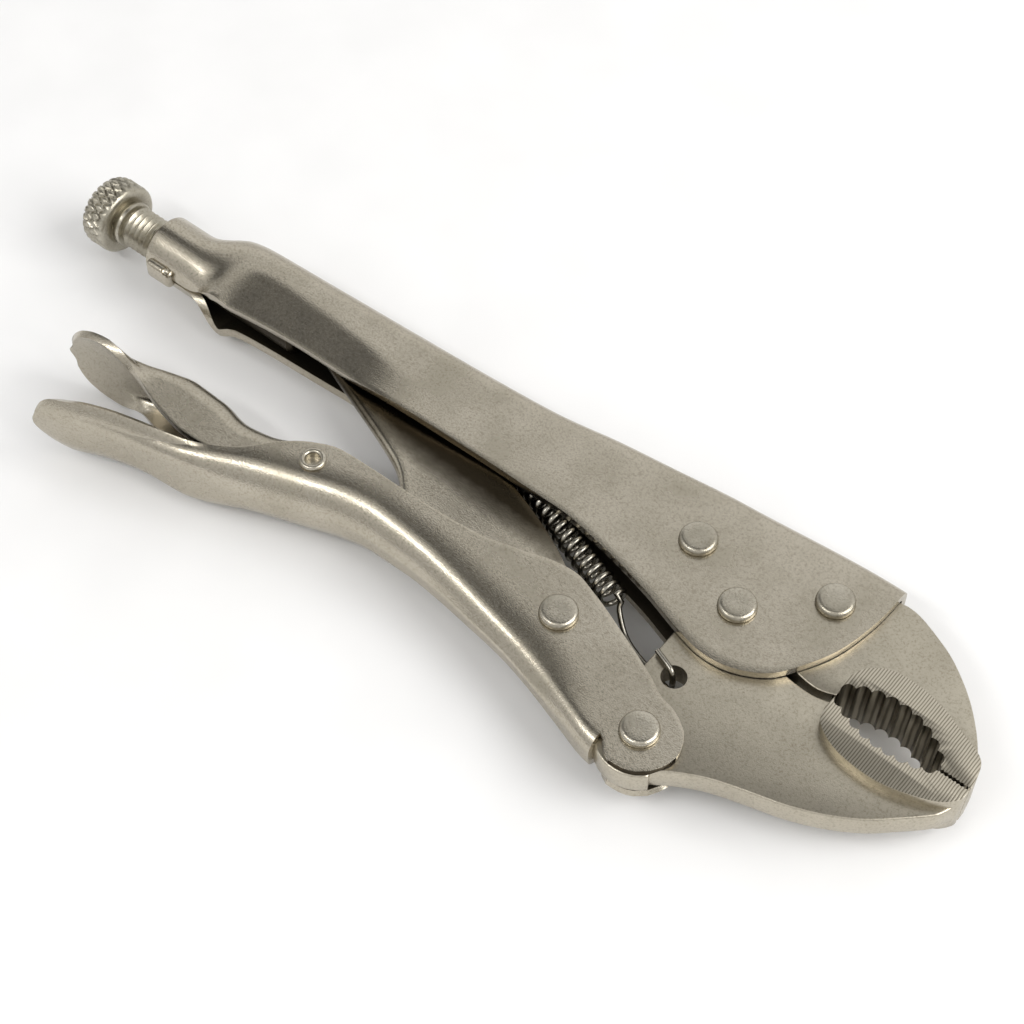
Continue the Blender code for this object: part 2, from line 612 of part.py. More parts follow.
# --- adjusting screw ----------------------------------------------------------------------
def make_screw(material):
    """Shank with a collar and a domed knob; the axis runs along X."""
    tip = LINK_NOSE[0] - LINK_NOSE_R - OPEN_PIVOT_GAP
    collar = -BODY_REACH - THREAD_SHOWN
    knob = collar - COLLAR_LENGTH
    rear = knob - KNOB_LENGTH
    dome = [(KNOB_R * math.sin(a), rear + KNOB_DOME * (1 - math.cos(a)))
            for a in (math.radians(d) for d in (0, 22, 42, 62, 78))]
    profile = dome + [(KNOB_R, rear + KNOB_DOME + 0.2), (KNOB_R, knob - 1.3), (KNOB_R - 0.9, knob),
                      (COLLAR_R, knob), (COLLAR_R, collar - 0.3), (COLLAR_R - 0.4, collar),
                      (SCREW_R, collar), (SCREW_R, tip - 1.0), (SCREW_R - 1.0, tip), (0, tip)]
    return finish_mesh("adjusting_screw", along_x(turned(profile, 32), 0, SCREW_Y),
                       (rear, SCREW_Y), material)


# --- spring -------------------------------------------------------------------------------
def spring_points():
    """Centre line of the spring's wire, from behind the body's tab to above the jaw."""
    (ux, uy), length = spring_axis()
    tail = COIL_TAIL + 2 * COIL_PITCH
    coil = (length - tail) // COIL_PITCH * COIL_PITCH
    per_turn = 8
    steps = round(coil / COIL_PITCH) * per_turn

    def at(along, radius, angle):
        across = radius * math.cos(angle)
        return (COIL_START[0] + ux * along - uy * across,
                COIL_START[1] + uy * along + ux * across, radius * math.sin(angle))

    tab_x, tab_y = SPRING_TAB
    points = [(tab_x - 2.5, tab_y - 3.0, 0), (tab_x - 2.4, tab_y - 0.7, 0), (tab_x - 1.7, tab_y, 0),
              (tab_x + 2.0, tab_y, 0), at(coil + COIL_PITCH + 4.6, 0.3, 0)]
    points += [at(coil * (1 - i / steps), COIL_R, math.pi / 2 - 2 * math.pi * i / per_turn)
               for i in range(steps + 1)]
    level = PLATE_HALF + FIT + WIRE_R                    # clear of the jaw plate's faces
    x, y = SPRING_HOLE
    points += [(COIL_START[0] + 1.5, COIL_START[1] + 0.1, -0.9),
               (COIL_START[0] + 1.3, COIL_START[1] - 1.7, -1.8),
               (x - 10.0, y + 2.6, -level), (x - 1.6, y + 0.5, -level),
               (x - 0.4, y + 0.1, -level * 0.55), (x - 0.2, y, 0), (x - 0.4, y + 0.1, level * 0.55),
               (x - 1.6, y + 0.7, level), (x - 6.3, y + 2.5, level)]
    return points


def make_spring(material):
    curve = bpy.data.curves.new("tension_spring", "CURVE")
    curve.dimensions = "3D"
    curve.bevel_depth = WIRE_R * MM
    curve.bevel_resolution = 1
    curve.use_fill_caps = True
    points = spring_points()
    spline = curve.splines.new("POLY")
    spline.points.add(len(points) - 1)
    for slot, (x, y, z) in zip(spline.points, points):
        slot.co = (x * MM, y * MM, z * MM, 1.0)
    item = bpy.data.objects.new("tension_spring", curve)
    item.location = (0, 0, MID_Z * MM)
    bpy.context.collection.objects.link(item)
    curve.materials.append(material)
    return item


def main():
    clear_scene()
    plated = metal("nickel_plate", NICKEL, 0.36)
    ground = metal("ground_steel", STEEL, 0.45)
    wire = metal("spring_wire", SPRING_STEEL, 0.4)
    make_body(plated)
    make_fixed_jaw(ground)
    make_moving_jaw(ground)
    make_handle(plated)
    make_link(plated)
    make_lever(plated)
    make_screw(plated)
    make_rivet("fixed_jaw_rear_rivet", REAR_RIVET, plated)
    make_rivet("fixed_jaw_front_rivet", FRONT_RIVET, plated)
    make_rivet("jaw_pivot_rivet", JAW_PIVOT, plated)
    make_rivet("handle_pivot_rivet", HANDLE_PIVOT, plated)
    make_rivet("link_pivot_rivet", LINK_PIVOT, plated)
    make_eyelet(plated)
    make_spring(wire)


main()
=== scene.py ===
# %% [markdown]
# # Locking pliers
# The tool lies on its side. +X runs along the adjusting screw towards the jaws, +Y points from the
# lower handle to the body, and every pivot's axis stands along Z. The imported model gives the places
# and sizes; each of its pieces is replaced here by a finer one, modelled in millimetres round the
# tool's middle plane and then brought to metres.

# %% Load the frame
import json
import math

import bmesh
import bpy
from mathutils import Matrix, Vector

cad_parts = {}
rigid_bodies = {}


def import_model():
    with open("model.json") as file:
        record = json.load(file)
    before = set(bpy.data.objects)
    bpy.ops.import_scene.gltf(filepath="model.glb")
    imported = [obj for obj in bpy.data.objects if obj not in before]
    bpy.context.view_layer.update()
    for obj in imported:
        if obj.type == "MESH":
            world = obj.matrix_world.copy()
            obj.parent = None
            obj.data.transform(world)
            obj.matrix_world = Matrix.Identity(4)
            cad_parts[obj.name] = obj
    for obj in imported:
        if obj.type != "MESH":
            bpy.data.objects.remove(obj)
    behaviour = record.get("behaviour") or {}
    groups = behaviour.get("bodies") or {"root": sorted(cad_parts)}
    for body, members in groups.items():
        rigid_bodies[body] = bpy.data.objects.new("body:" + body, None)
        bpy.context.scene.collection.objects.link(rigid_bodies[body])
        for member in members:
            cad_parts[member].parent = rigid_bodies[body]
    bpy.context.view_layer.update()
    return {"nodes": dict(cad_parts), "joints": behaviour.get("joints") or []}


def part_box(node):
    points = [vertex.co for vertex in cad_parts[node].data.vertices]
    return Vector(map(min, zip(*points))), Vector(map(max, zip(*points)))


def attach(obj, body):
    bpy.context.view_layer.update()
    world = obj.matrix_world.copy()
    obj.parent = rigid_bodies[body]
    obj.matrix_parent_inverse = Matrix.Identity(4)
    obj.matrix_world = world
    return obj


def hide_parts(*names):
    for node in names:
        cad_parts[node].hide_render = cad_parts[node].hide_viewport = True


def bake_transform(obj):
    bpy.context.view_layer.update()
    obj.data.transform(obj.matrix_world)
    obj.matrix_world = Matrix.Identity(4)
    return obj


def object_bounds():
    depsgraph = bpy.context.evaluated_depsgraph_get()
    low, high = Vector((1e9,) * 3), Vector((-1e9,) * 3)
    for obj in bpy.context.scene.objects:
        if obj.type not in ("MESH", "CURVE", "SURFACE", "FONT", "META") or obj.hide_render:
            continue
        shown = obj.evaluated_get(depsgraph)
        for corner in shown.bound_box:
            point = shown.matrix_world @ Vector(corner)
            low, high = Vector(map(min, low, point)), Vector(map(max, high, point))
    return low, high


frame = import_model()
MM = 0.001
bpy.ops.object.select_all(action="DESELECT")


def middle(node):
    """Centre of a CAD node, in millimetres."""
    low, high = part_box(node)
    return (low + high) / 2 / MM


PIVOTS = {joint["name"]: Vector(joint["pos_m"]) / MM for joint in frame["joints"]
          if "pos_m" in joint}
JAW_PIN = PIVOTS["jaw_pivot"]
HANDLE_PIN = PIVOTS["handle_pivot"]
LINK_PIN = PIVOTS["link_pivot"]
LEVER_PIN = PIVOTS["release_lever_pivot"]
MID_Z = JAW_PIN.z
body_low, body_high = (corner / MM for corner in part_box("handle_body"))
handle_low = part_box("lower_handle")[0] / MM
jaw_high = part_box("fixed_jaw")[1] / MM
screw_low, screw_high = (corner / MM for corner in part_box("adjusting_screw"))
print("pieces to refine:", len(frame["nodes"]), "middle plane at", round(MID_Z, 2), "mm")

# %% [markdown]
# ## Sheet, plate and rivet sizes
# The body and the lower handle are 2 mm sheet, folded to channels that take the 6 mm jaw plates
# between them. A few lines and widths are shared by many pieces, so they are named once.

# %% Shared sizes, in millimetres
SHEET = 2.0
PLATE_HALF = 3.0
GRIP_HALF = 5.3
BAND_HALF = 5.7
TUBE_R = 7.6
TUBE_Y = 1.3
SCREW_Y = 0.9
HEAD_R = 4.35
BODY_REACH = -body_low.x
HANDLE_REACH = HANDLE_PIN.x - handle_low.x
JAW_REACH = jaw_high.x
PADDLE_HALF = 11.2


def smooth(low, high, x):
    """0 below low, 1 above high, with a soft step between."""
    t = min(1.0, max(0.0, (x - low) / (high - low)))
    return t * t * (3 - 2 * t)


def interpolate(rows, x):
    """Row of values at x, by monotone cubics through rows of (x, value, value, ...)."""
    xs = [row[0] for row in rows]
    span = next((i for i in range(len(xs) - 2) if x < xs[i + 1]), len(xs) - 2)
    width = xs[span + 1] - xs[span]
    t = (x - xs[span]) / width
    result = []
    for column in range(1, len(rows[0])):
        v = [row[column] for row in rows]

        def slope(i):
            if i in (0, len(xs) - 1):
                return 0.0 if i else (v[1] - v[0]) / (xs[1] - xs[0])
            left = (v[i] - v[i - 1]) / (xs[i] - xs[i - 1])
            right = (v[i + 1] - v[i]) / (xs[i + 1] - xs[i])
            return 0.0 if left * right <= 0 else 2 * left * right / (left + right)

        m0, m1 = slope(span) * width, slope(span + 1) * width
        result.append((2 * t**3 - 3 * t**2 + 1) * v[span] + (t**3 - 2 * t**2 + t) * m0
                      + (3 * t**2 - 2 * t**3) * v[span + 1] + (t**3 - t**2) * m1)
    return result


def stations(rows, step):
    """Rows at every control point and about every step between them."""
    out = []
    for near, far in zip(rows, rows[1:]):
        count = max(1, round((far[0] - near[0]) / step))
        out += [(x, *interpolate(rows, x)) for x in
                (near[0] + (far[0] - near[0]) * i / count for i in range(count))]
    return out + [rows[-1]]


def arc(centre, radius, start, end, steps):
    """Points on a circle from start to end, in degrees."""
    turn = [math.radians(start + (end - start) * i / steps) for i in range(steps + 1)]
    return [(centre[0] + radius * math.cos(a), centre[1] + radius * math.sin(a)) for a in turn]


def curve_through(points, steps):
    """Catmull-Rom curve through points, ends included."""
    ends = [points[0]] + list(points) + [points[-1]]
    out = []
    for p0, p1, p2, p3 in zip(ends, ends[1:], ends[2:], ends[3:]):
        for i in range(steps):
            t = i / steps
            out.append(tuple(0.5 * (2 * b + (c - a) * t + (2 * a - 5 * b + 4 * c - d) * t**2
                                    + (3 * b - a - 3 * c + d) * t**3)
                             for a, b, c, d in zip(p0, p1, p2, p3)))
    return out + [tuple(points[-1])]


print("jaw reach", round(JAW_REACH, 1), "body reach", round(BODY_REACH, 1), "mm")

# %% [markdown]
# ## Working by hand, in code
# Each piece starts as a Blender primitive, is shaped in edit mode and finished with modifiers that
# are applied. These helpers select by place, apply a modifier, and put a finished piece on its body
# in metres with its object back at the origin.

# %% Helpers for modelling
def fresh(operator, name, **settings):
    """Add one primitive with everything else deselected, and name it."""
    bpy.ops.object.select_all(action="DESELECT")
    operator(**settings)
    piece = bpy.context.object
    piece.name = piece.data.name = name
    return piece


def activate(piece):
    bpy.ops.object.select_all(action="DESELECT")
    piece.select_set(True)
    bpy.context.view_layer.objects.active = piece


def pick(piece, kind, test):
    """In edit mode, select the vertices, edges or faces that pass the test."""
    activate(piece)
    bpy.ops.object.mode_set(mode="EDIT")
    bpy.ops.mesh.select_all(action="DESELECT")
    bpy.ops.mesh.select_mode(type=kind)
    shape = bmesh.from_edit_mesh(piece.data)
    parts = {"VERT": shape.verts, "EDGE": shape.edges, "FACE": shape.faces}[kind]
    for part in parts:
        part.select_set(bool(test(part)))
    shape.select_flush_mode()
    bmesh.update_edit_mesh(piece.data)


def done():
    bpy.ops.object.mode_set(mode="OBJECT")


def close(piece, merge=0.004):
    """Merge doubled vertices and turn every face outwards."""
    pick(piece, "VERT", lambda vert: True)
    bpy.ops.mesh.remove_doubles(threshold=merge)
    bpy.ops.mesh.dissolve_degenerate(threshold=0.0005)
    bpy.ops.mesh.select_all(action="SELECT")
    bpy.ops.mesh.normals_make_consistent(inside=False)
    done()


def apply(piece, kind, **settings):
    """Add one modifier with its settings and apply it."""
    activate(piece)
    modifier = piece.modifiers.new(kind.lower(), kind)
    for name, value in settings.items():
        setattr(modifier, name, value)
    bpy.ops.object.modifier_apply(modifier=modifier.name)


def combine(piece, tool, operation):
    """Exact Boolean with a tool piece, which is then thrown away."""
    apply(piece, "BOOLEAN", operation=operation, solver="EXACT", object=tool)
    bpy.data.objects.remove(tool, do_unlink=True)


def plate(name, outline, bottom, top):
    """Flat plate cut to an outline: a filled circle laid on it, then extruded."""
    piece = fresh(bpy.ops.mesh.primitive_circle_add, name, vertices=len(outline), radius=1,
                  fill_type="NGON")
    piece.data.vertices.foreach_set("co", [c for x, y in outline for c in (x, y, bottom)])
    pick(piece, "FACE", lambda face: True)
    bpy.ops.mesh.extrude_region_move(TRANSFORM_OT_translate={"value": (0, 0, top - bottom)})
    done()
    close(piece)
    return piece


def sheet_grid(name, sections):
    """Open grid with its points laid along sections of equal length."""
    piece = fresh(bpy.ops.mesh.primitive_grid_add, name, size=1,
                  x_subdivisions=len(sections[0]) - 1, y_subdivisions=len(sections) - 1)
    piece.data.vertices.foreach_set("co", [c for line in sections for p in line for c in p])
    return piece


def face_up(piece):
    """Turn an open sheet's faces outwards, judged by its highest face."""
    pick(piece, "FACE", lambda face: True)
    bpy.ops.mesh.normals_make_consistent(inside=False)
    done()
    if max(piece.data.polygons, key=lambda face: face.center.z).normal.z < 0:
        pick(piece, "FACE", lambda face: True)
        bpy.ops.mesh.flip_normals()
        done()


def turned(name, profile, steps=48):
    """Piece turned round Z: a circle laid on the closed profile of (radius, z), then spun."""
    piece = fresh(bpy.ops.mesh.primitive_circle_add, name, vertices=len(profile), radius=1)
    piece.data.vertices.foreach_set("co", [c for r, z in profile for c in (r, 0.0, z)])
    pick(piece, "EDGE", lambda edge: True)
    bpy.ops.mesh.spin(steps=steps, angle=math.tau, center=(0, 0, 0), axis=(0, 0, 1))
    done()
    close(piece)
    return piece


def lay(piece, along_x=False, place=(0, 0, 0)):
    """Turn a piece made round Z on to the screw's axis if asked, and put it in place."""
    activate(piece)
    if along_x:
        piece.rotation_euler = (0, math.radians(90), 0)
    piece.location = place
    bpy.ops.object.transform_apply(location=True, rotation=True, scale=True)
    return piece


def settle(piece, body, node, angle=32):
    """Bring a finished piece to metres at the origin, and let it ride for its CAD node."""
    activate(piece)
    piece.scale = (MM, MM, MM)
    piece.location = (0, 0, MID_Z * MM)
    bpy.ops.object.transform_apply(location=True, rotation=True, scale=True)
    bpy.ops.object.shade_smooth_by_angle(angle=math.radians(angle))
    if body:
        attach(piece, body)
    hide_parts(node)
    print(piece.name, "faces:", len(piece.data.polygons))
    return piece


# %% [markdown]
# ## Finishes
# Everything but the spring is steel. The pressings are satin nickel: a thin warm plating over metal
# that was blasted, so its gloss breaks into tiny sparks. The jaws' bands are ground flat, which
# leaves straight score lines. The spring is darker drawn wire.

# %% Node helper and colours
def srgb(code):
    """Linear colour from an sRGB hex code."""
    parts = [int(code[i:i + 2], 16) / 255 for i in (0, 2, 4)]
    linear = [p / 12.92 if p <= 0.04045 else ((p + 0.055) / 1.055) ** 2.4 for p in parts]
    return (*linear, 1.0)


def new_metal(name, colour, roughness):
    material = bpy.data.materials.new(name)
    material.use_nodes = True
    shader = material.node_tree.nodes["Principled BSDF"]
    shader.inputs["Metallic"].default_value = 1.0
    shader.inputs["Base Color"].default_value = srgb(colour)
    shader.inputs["Roughness"].default_value = roughness
    return material, shader


def add(material, kind, links=None, values=None, **settings):
    """Add one node: its settings, fixed input values, and links as {input: output socket}."""
    tree = material.node_tree
    node = tree.nodes.new(kind)
    for key, value in settings.items():
        setattr(node, key, value)
    for key, value in (values or {}).items():
        node.inputs[key].default_value = value
    for key, socket in (links or {}).items():
        tree.links.new(socket, node.inputs[key])
    return node


def ramp(material, fac, stops):
    node = add(material, "ShaderNodeValToRGB", {"Fac": fac})
    elements = node.color_ramp.elements
    while len(elements) < len(stops):
        elements.new(0.5)
    for element, (place, colour) in zip(elements, stops):
        element.position = place
        element.color = colour
    return node


def per_mm(size):
    """Texture scale for a grain of this size in millimetres."""
    return 1 / (size * MM)


print("finish helpers ready")


# %% [markdown]
# Satin nickel is a mirror finish laid over a blasted skin. Three noises draw it: a fine grain in
# the relief, specks in the tone, and slow clouds where handling has dulled it.

# %% Satin nickel
def satin_nickel(name, colour, worn, roughness=0.30, pits=1.0):
    """Satin nickel over blasted steel: warm grey, softly mirrored, broken by fine grain.

    The blasted grain is really about 0.1 mm; it is drawn at 0.28 mm so that it shows.
    """
    material, shader = new_metal(name, colour, roughness)
    space = add(material, "ShaderNodeTexCoord").outputs["Object"]
    grain = add(material, "ShaderNodeTexNoise", {"Vector": space},
                {"Scale": per_mm(0.28), "Detail": 1.0, "Roughness": 0.5})
    peel = add(material, "ShaderNodeTexNoise", {"Vector": space},
               {"Scale": per_mm(2.2), "Detail": 2.0})
    cloud = add(material, "ShaderNodeTexNoise", {"Vector": space},
                {"Scale": per_mm(14.0), "Detail": 4.0, "Roughness": 0.6})
    speck = add(material, "ShaderNodeTexNoise", {"Vector": space},
                {"Scale": per_mm(0.55), "Detail": 2.0, "Roughness": 0.7})
    tint = ramp(material, cloud.outputs["Fac"], [(0.30, srgb(worn)), (0.62, srgb(colour))])
    spots = ramp(material, speck.outputs["Fac"], [(0.30, (0.74, 0.72, 0.69, 1)),
                                                  (0.50, (0.96, 0.96, 0.95, 1)),
                                                  (0.70, (1, 1, 1, 1))])
    mixed = add(material, "ShaderNodeMix", data_type="RGBA", blend_type="MULTIPLY")
    mixed.inputs["Factor"].default_value = 1.0
    material.node_tree.links.new(tint.outputs["Color"], mixed.inputs["A"])
    material.node_tree.links.new(spots.outputs["Color"], mixed.inputs["B"])
    material.node_tree.links.new(mixed.outputs["Result"], shader.inputs["Base Color"])
    rough = add(material, "ShaderNodeMapRange", {"Value": cloud.outputs["Fac"]},
                {"From Min": 0.3, "From Max": 0.7, "To Min": roughness + 0.06,
                 "To Max": roughness - 0.04})
    material.node_tree.links.new(rough.outputs["Result"], shader.inputs["Roughness"])
    fine = add(material, "ShaderNodeBump", {"Height": grain.outputs["Fac"]},
               {"Strength": 1.0, "Distance": 0.027 * MM * pits})
    broad = add(material, "ShaderNodeBump", {"Height": peel.outputs["Fac"],
                                             "Normal": fine.outputs["Normal"]},
                {"Strength": 1.0, "Distance": 0.015 * MM})
    material.node_tree.links.new(broad.outputs["Normal"], shader.inputs["Normal"])
    return material


print("satin nickel ready")

# %% [markdown]
# The jaws' bands are ground flat and their teeth are broached. Both cuts leave straight lines
# across the jaw, so a wave texture is roughened by a noise drawn out along the lines.

# %% Score lines
WAVE_UNIT = 0.314  # a wave texture repeats every tenth of a turn, pi / 10, at scale 1


def ground_steel(name, colour, dark, pitch, depth):
    """Steel with straight score lines across X, uneven in depth and tone.

    The wheel's finest marks are under 0.1 mm; they are drawn at the pitch given so that they show.
    """
    material, shader = new_metal(name, colour, 0.34)
    space = add(material, "ShaderNodeTexCoord").outputs["Object"]
    lines = add(material, "ShaderNodeTexWave", {"Vector": space},
                {"Scale": per_mm(pitch) * WAVE_UNIT, "Distortion": 1.2, "Detail": 2.0,
                 "Detail Scale": 0.6}, bands_direction="X")
    squeeze = add(material, "ShaderNodeMapping", {"Vector": space},
                  {"Scale": (1, 0.03, 0.03)})
    uneven = add(material, "ShaderNodeTexNoise", {"Vector": squeeze.outputs["Vector"]},
                 {"Scale": per_mm(0.7), "Detail": 4.0, "Roughness": 0.7})
    height = add(material, "ShaderNodeMath", {0: lines.outputs["Fac"], 1: uneven.outputs["Fac"]},
                 operation="MULTIPLY")
    tint = ramp(material, height.outputs["Value"], [(0.02, srgb(dark)), (0.30, srgb(colour))])
    material.node_tree.links.new(tint.outputs["Color"], shader.inputs["Base Color"])
    bump = add(material, "ShaderNodeBump", {"Height": height.outputs["Value"]},
               {"Strength": 1.0, "Distance": depth * MM})
    material.node_tree.links.new(bump.outputs["Normal"], shader.inputs["Normal"])
    return material


print("score lines ready")

# %% [markdown]
# The part of the link that runs in under the body's wall is darkened in its colour. This is painted
# shade, for the shade and dark reflections inside the body, laid over the plating from a line across
# the link.

# %% Painted shade on the link
def paint_shade_past_line(material, start, end, width, shade_colour):
    """Darken a finish past a line in the XY plane: painted shade where the part runs in under the
    body.
    """
    tree = material.node_tree
    shader = tree.nodes["Principled BSDF"]
    across = (end - start).orthogonal().normalized() / (width * MM)
    space = add(material, "ShaderNodeTexCoord").outputs["Object"]
    place = add(material, "ShaderNodeVectorMath", {0: space}, {1: (across.x, across.y, 0.0)},
                operation="DOT_PRODUCT")
    shade_noise = add(material, "ShaderNodeTexNoise", {"Vector": space},
                {"Scale": per_mm(3.0), "Detail": 4.0})
    share = add(material, "ShaderNodeMath", {0: place.outputs["Value"]},
                {1: -across.dot(start * MM) - 0.15}, operation="ADD")
    share = add(material, "ShaderNodeMath", {0: shade_noise.outputs["Fac"], 2: share.outputs["Value"]},
                {1: 0.4}, operation="MULTIPLY_ADD")
    # painted shade: the colour darkens past the line towards the shade colour, with a noisy edge
    dark = ramp(material, share.outputs["Value"], [
        (0.0, (1, 1, 1, 1)), (0.45, (0.42, 0.41, 0.39, 1)), (1.0, srgb(shade_colour))])
    unshaded = shader.inputs["Base Color"].links[0].from_socket
    mixed = add(material, "ShaderNodeMix", data_type="RGBA", blend_type="MULTIPLY")
    mixed.inputs["Factor"].default_value = 1.0
    tree.links.new(unshaded, mixed.inputs["A"])
    tree.links.new(dark.outputs["Color"], mixed.inputs["B"])
    tree.links.new(mixed.outputs["Result"], shader.inputs["Base Color"])
    return material


print("painted link shade ready")

# %% [markdown]
# Each finish has its own name and tone: the plated sheet, a dark painted shade for the insides of the
# channels and the screw's hidden end, the duller forgings, the turned screw, the bright rivets and
# the drawn wire.

# %% All the finishes
nickel = satin_nickel("satin_nickel_pressing", "BEB7A9", "B3AC9D", 0.24, 1.3)
# a dark paint that stands for the shade inside channels and the tube: painted shade
inside_shade_paint = satin_nickel("painted_shade_inside", "4A443A", "38332B", 0.5, 1.0)
forged = satin_nickel("satin_nickel_forging", "BFB8A9", "B0A99A", 0.32, 1.2)
turned_steel = satin_nickel("turned_screw", "BDB8AB", "A39D8E", 0.30, 0.8)
bright = satin_nickel("bright_nickel_turning", "C2BCAF", "A8A294", 0.26, 1.6)
band_face = ground_steel("ground_band_face", "C6BFB0", "857E6F", 0.62, 0.03)
band_teeth = ground_steel("broached_teeth", "938C7D", "5A5448", 1.3, 0.08)
# the link's finish carries painted shade on the side that runs in under the body
link_shaded_finish = paint_shade_past_line(satin_nickel("link_with_painted_shade", "BEB7A9", "B3AC9D", 0.24, 1.3),
                      Vector((-83.4, -12.7)), Vector((-37.8, -15.0)), 6.0, "5A544A")
wire_steel = satin_nickel("drawn_spring_wire", "AAA69D", "8F8B82", 0.22, 0.3)
print("finishes:", [m.name for m in (nickel, forged, bright, band_face, band_teeth, wire_steel)])


# %% [markdown]
# ## Folded sheet
# Body, lower handle and release lever are blanks pressed over a punch into channels. Each one is
# a flat grid laid along rows that give the web line, the rim line, the half width and the bend
# radius; Solidify then gives the sheet its thickness and Bevel its rolled-over rims.

# %% Folded sheet helper
FOLD_SIDE, FOLD_BEND, FOLD_WEB = 14, 9, 5


def fold_section(x, web, rim, half, bend, rounding=(0.0, 0.0), dish=0.0, wall=None):
    """Points of one section from the +Z rim over the web to the -Z rim."""
    side = 1 if web > rim else -1
    depth = abs(web - rim)
    bend = min(bend, half * 0.95, depth * 0.9)
    near = []
    for i in range(FOLD_SIDE):
        near.append((rim + (web - side * bend - rim) * i / FOLD_SIDE, half))
    for i in range(FOLD_BEND):
        a = math.pi / 2 * i / FOLD_BEND
        near.append((web - side * bend * (1 - math.sin(a)), half - bend * (1 - math.cos(a))))
    for i in range(FOLD_WEB + 1):
        near.append((web, (half - bend) * (1 - i / FOLD_WEB)))
    if max(rounding):
        last = len(near) - 1
        for i, (y, z) in enumerate(near):
            a = math.radians(-87.5 + 177.5 * i / last)
            circle = (TUBE_Y + TUBE_R * math.sin(a), TUBE_R * math.cos(a))
            share = rounding[1] + (rounding[0] - rounding[1]) * smooth(0.3, 0.7, i / last)
            near[i] = (y + (circle[0] - y) * share, z + (circle[1] - z) * share)
    if dish:
        last = len(near) - 1
        for i, (y, z) in enumerate(near):
            out = 1 - (i / last) ** 1.25
            bowl = (rim + (web - rim) * (1 - out**2.6), half * out)
            near[i] = (y + (bowl[0] - y) * dish, z + (bowl[1] - z) * dish)
    if wall:
        near = [wall(x, y, z) for y, z in near]
    return [(x, y, z) for y, z in near] + [(x, y, -z) for y, z in near[-2::-1]]


def folded(name, rows, sheet, step, wall=None, roundness=None, dish=None, drop=None,
           rim_bevel=0.45, dark_inside=True, even=True):
    """Sheet piece from rows of (x, web, rim, half width, bend radius).

    wall leans the walls, roundness rolls a tube, dish hollows a blade and drop cuts faces away.
    """
    lines = stations(rows, step)
    sections = [fold_section(*row[:5], roundness(row[0]) if roundness else (0.0, 0.0),
                             dish(row[0]) if dish else 0.0, wall) for row in lines]
    piece = sheet_grid(name, sections)
    if drop:
        pick(piece, "FACE", lambda face: drop(face.calc_center_median()))
        bpy.ops.mesh.delete(type="FACE")
        done()
    face_up(piece)
    # the inner shell takes the dark paint for the channel's inside: painted shade
    for material in (nickel, inside_shade_paint):
        piece.data.materials.append(material)
    apply(piece, "SOLIDIFY", thickness=sheet, offset=-1, use_even_offset=even,
          thickness_clamp=0.0, material_offset=1 if dark_inside else 0)
    apply(piece, "BEVEL", width=rim_bevel, segments=3, limit_method="ANGLE",
          angle_limit=math.radians(50), harden_normals=False)
    return piece


# %% [markdown]
# ## Body
# The body is one pressing: a tube rolled round the adjusting screw at the rear, a channel with
# walls bulged out for the screw, and two flat cheeks that grip the fixed jaw. A hemmed lug closes
# the tube's seam. The bulge is drawn by leaning the lower wall in from a crease line.

# %% Body
def body_rows():
    bulge = 7.3
    behind = ((1.0, 8.9, -6.3, 7.5, 7.2), (0.955, 9.2, -6.3, 7.5, 7.2),
              (0.924, 10.9, -6.8, 7.45, 6.4), (0.902, 12.4, -7.6, 7.4, 5.6),
              (0.880, 13.2, -7.9, bulge, 5.0),
              (0.855, 13.6, -7.6, bulge, 4.6), (0.812, 13.8, -6.4, bulge, 4.3),
              (0.730, 14.2, -5.4, bulge, 4.0),
              (0.614, 15.4, -4.8, 6.5, 3.8), (0.461, 16.7, -4.0, 6.0, 3.4),
              (0.365, 18.0, -3.7, 5.65, 3.2), (0.270, 20.6, -3.7, 5.4, 3.0),
              (0.187, 22.3, -5.6, 5.3, 3.0))
    cheek = curve_through([(-16.0, -9.4), (-5.0, -12.9), (1.5, -14.0), (8.0, -13.0), (14.4, -9.5),
                           (18.4, -4.4), (22.9, 4.5), (25.2, 15.0), (body_high.x, 22.4)], 6)
    return ([(-share * BODY_REACH, *rest) for share, *rest in behind]
            + [(x, 23.8 + 3.1 * smooth(-26.0, 24.0, x), rim, GRIP_HALF, 3.0) for x, rim in cheek])


CREASE = [(-147.0, 0.5), (-143.5, 3.6), (-137.0, 4.9), (-120.0, 4.3), (-105.0, 3.5), (-92.0, 1.4)]


def body_wall(x, y, z):
    """Lean the wall in below the crease of the screw's bulge."""
    share = smooth(-145.5, -140.5, x) * (1 - smooth(-108.0, -88.0, x))
    if share > 0 and z > 4:
        below = interpolate(CREASE, min(-92.0, max(-147.0, x)))[0] - y
        z -= share * 0.19 * max(0.0, below + 0.3 * math.exp(-abs(below)))
    return y, z


def body_roundness(x):
    """How round the tube still is at its top and at its seam."""
    return 1 - smooth(-163.0, -150.0, x), 1 - smooth(-156.5, -145.0, x)


body = folded("body_shell", body_rows(), SHEET, 1.6, body_wall, body_roundness)
rear = -BODY_REACH
lug = fresh(bpy.ops.mesh.primitive_cube_add, "lug", size=1, location=(rear + 5.0, -6.3, 0.4),
            scale=(8.0, 3.0, 5.2))
bpy.ops.object.transform_apply(location=True, rotation=True, scale=True)
apply(lug, "BEVEL", width=1.35, segments=6)
combine(body, lug, "UNION")
dimple = fresh(bpy.ops.mesh.primitive_uv_sphere_add, "dimple", segments=24, ring_count=12,
               radius=1.25, location=(rear + 7.4, -6.9, 3.2))
combine(body, dimple, "DIFFERENCE")
settle(body, "body", "handle_body")

# %% [markdown]
# ## Jaws
# Each jaw is a forged 6 mm plate whose mouth carries a thicker toothed band. The outline is cut as
# a plate, its edges are rounded as the forging leaves them, and the band is joined on. The teeth
# are scallops milled along an arc, with a fine saw of teeth at the straight tips.

# %% Teeth
TEETH_START, TIP_LENGTH, TIP_Y, TIP_GAP = 28.4, 7.0, -6.5, 0.4
TOOTH_COUNT, TOOTH_STEPS = 9, 10


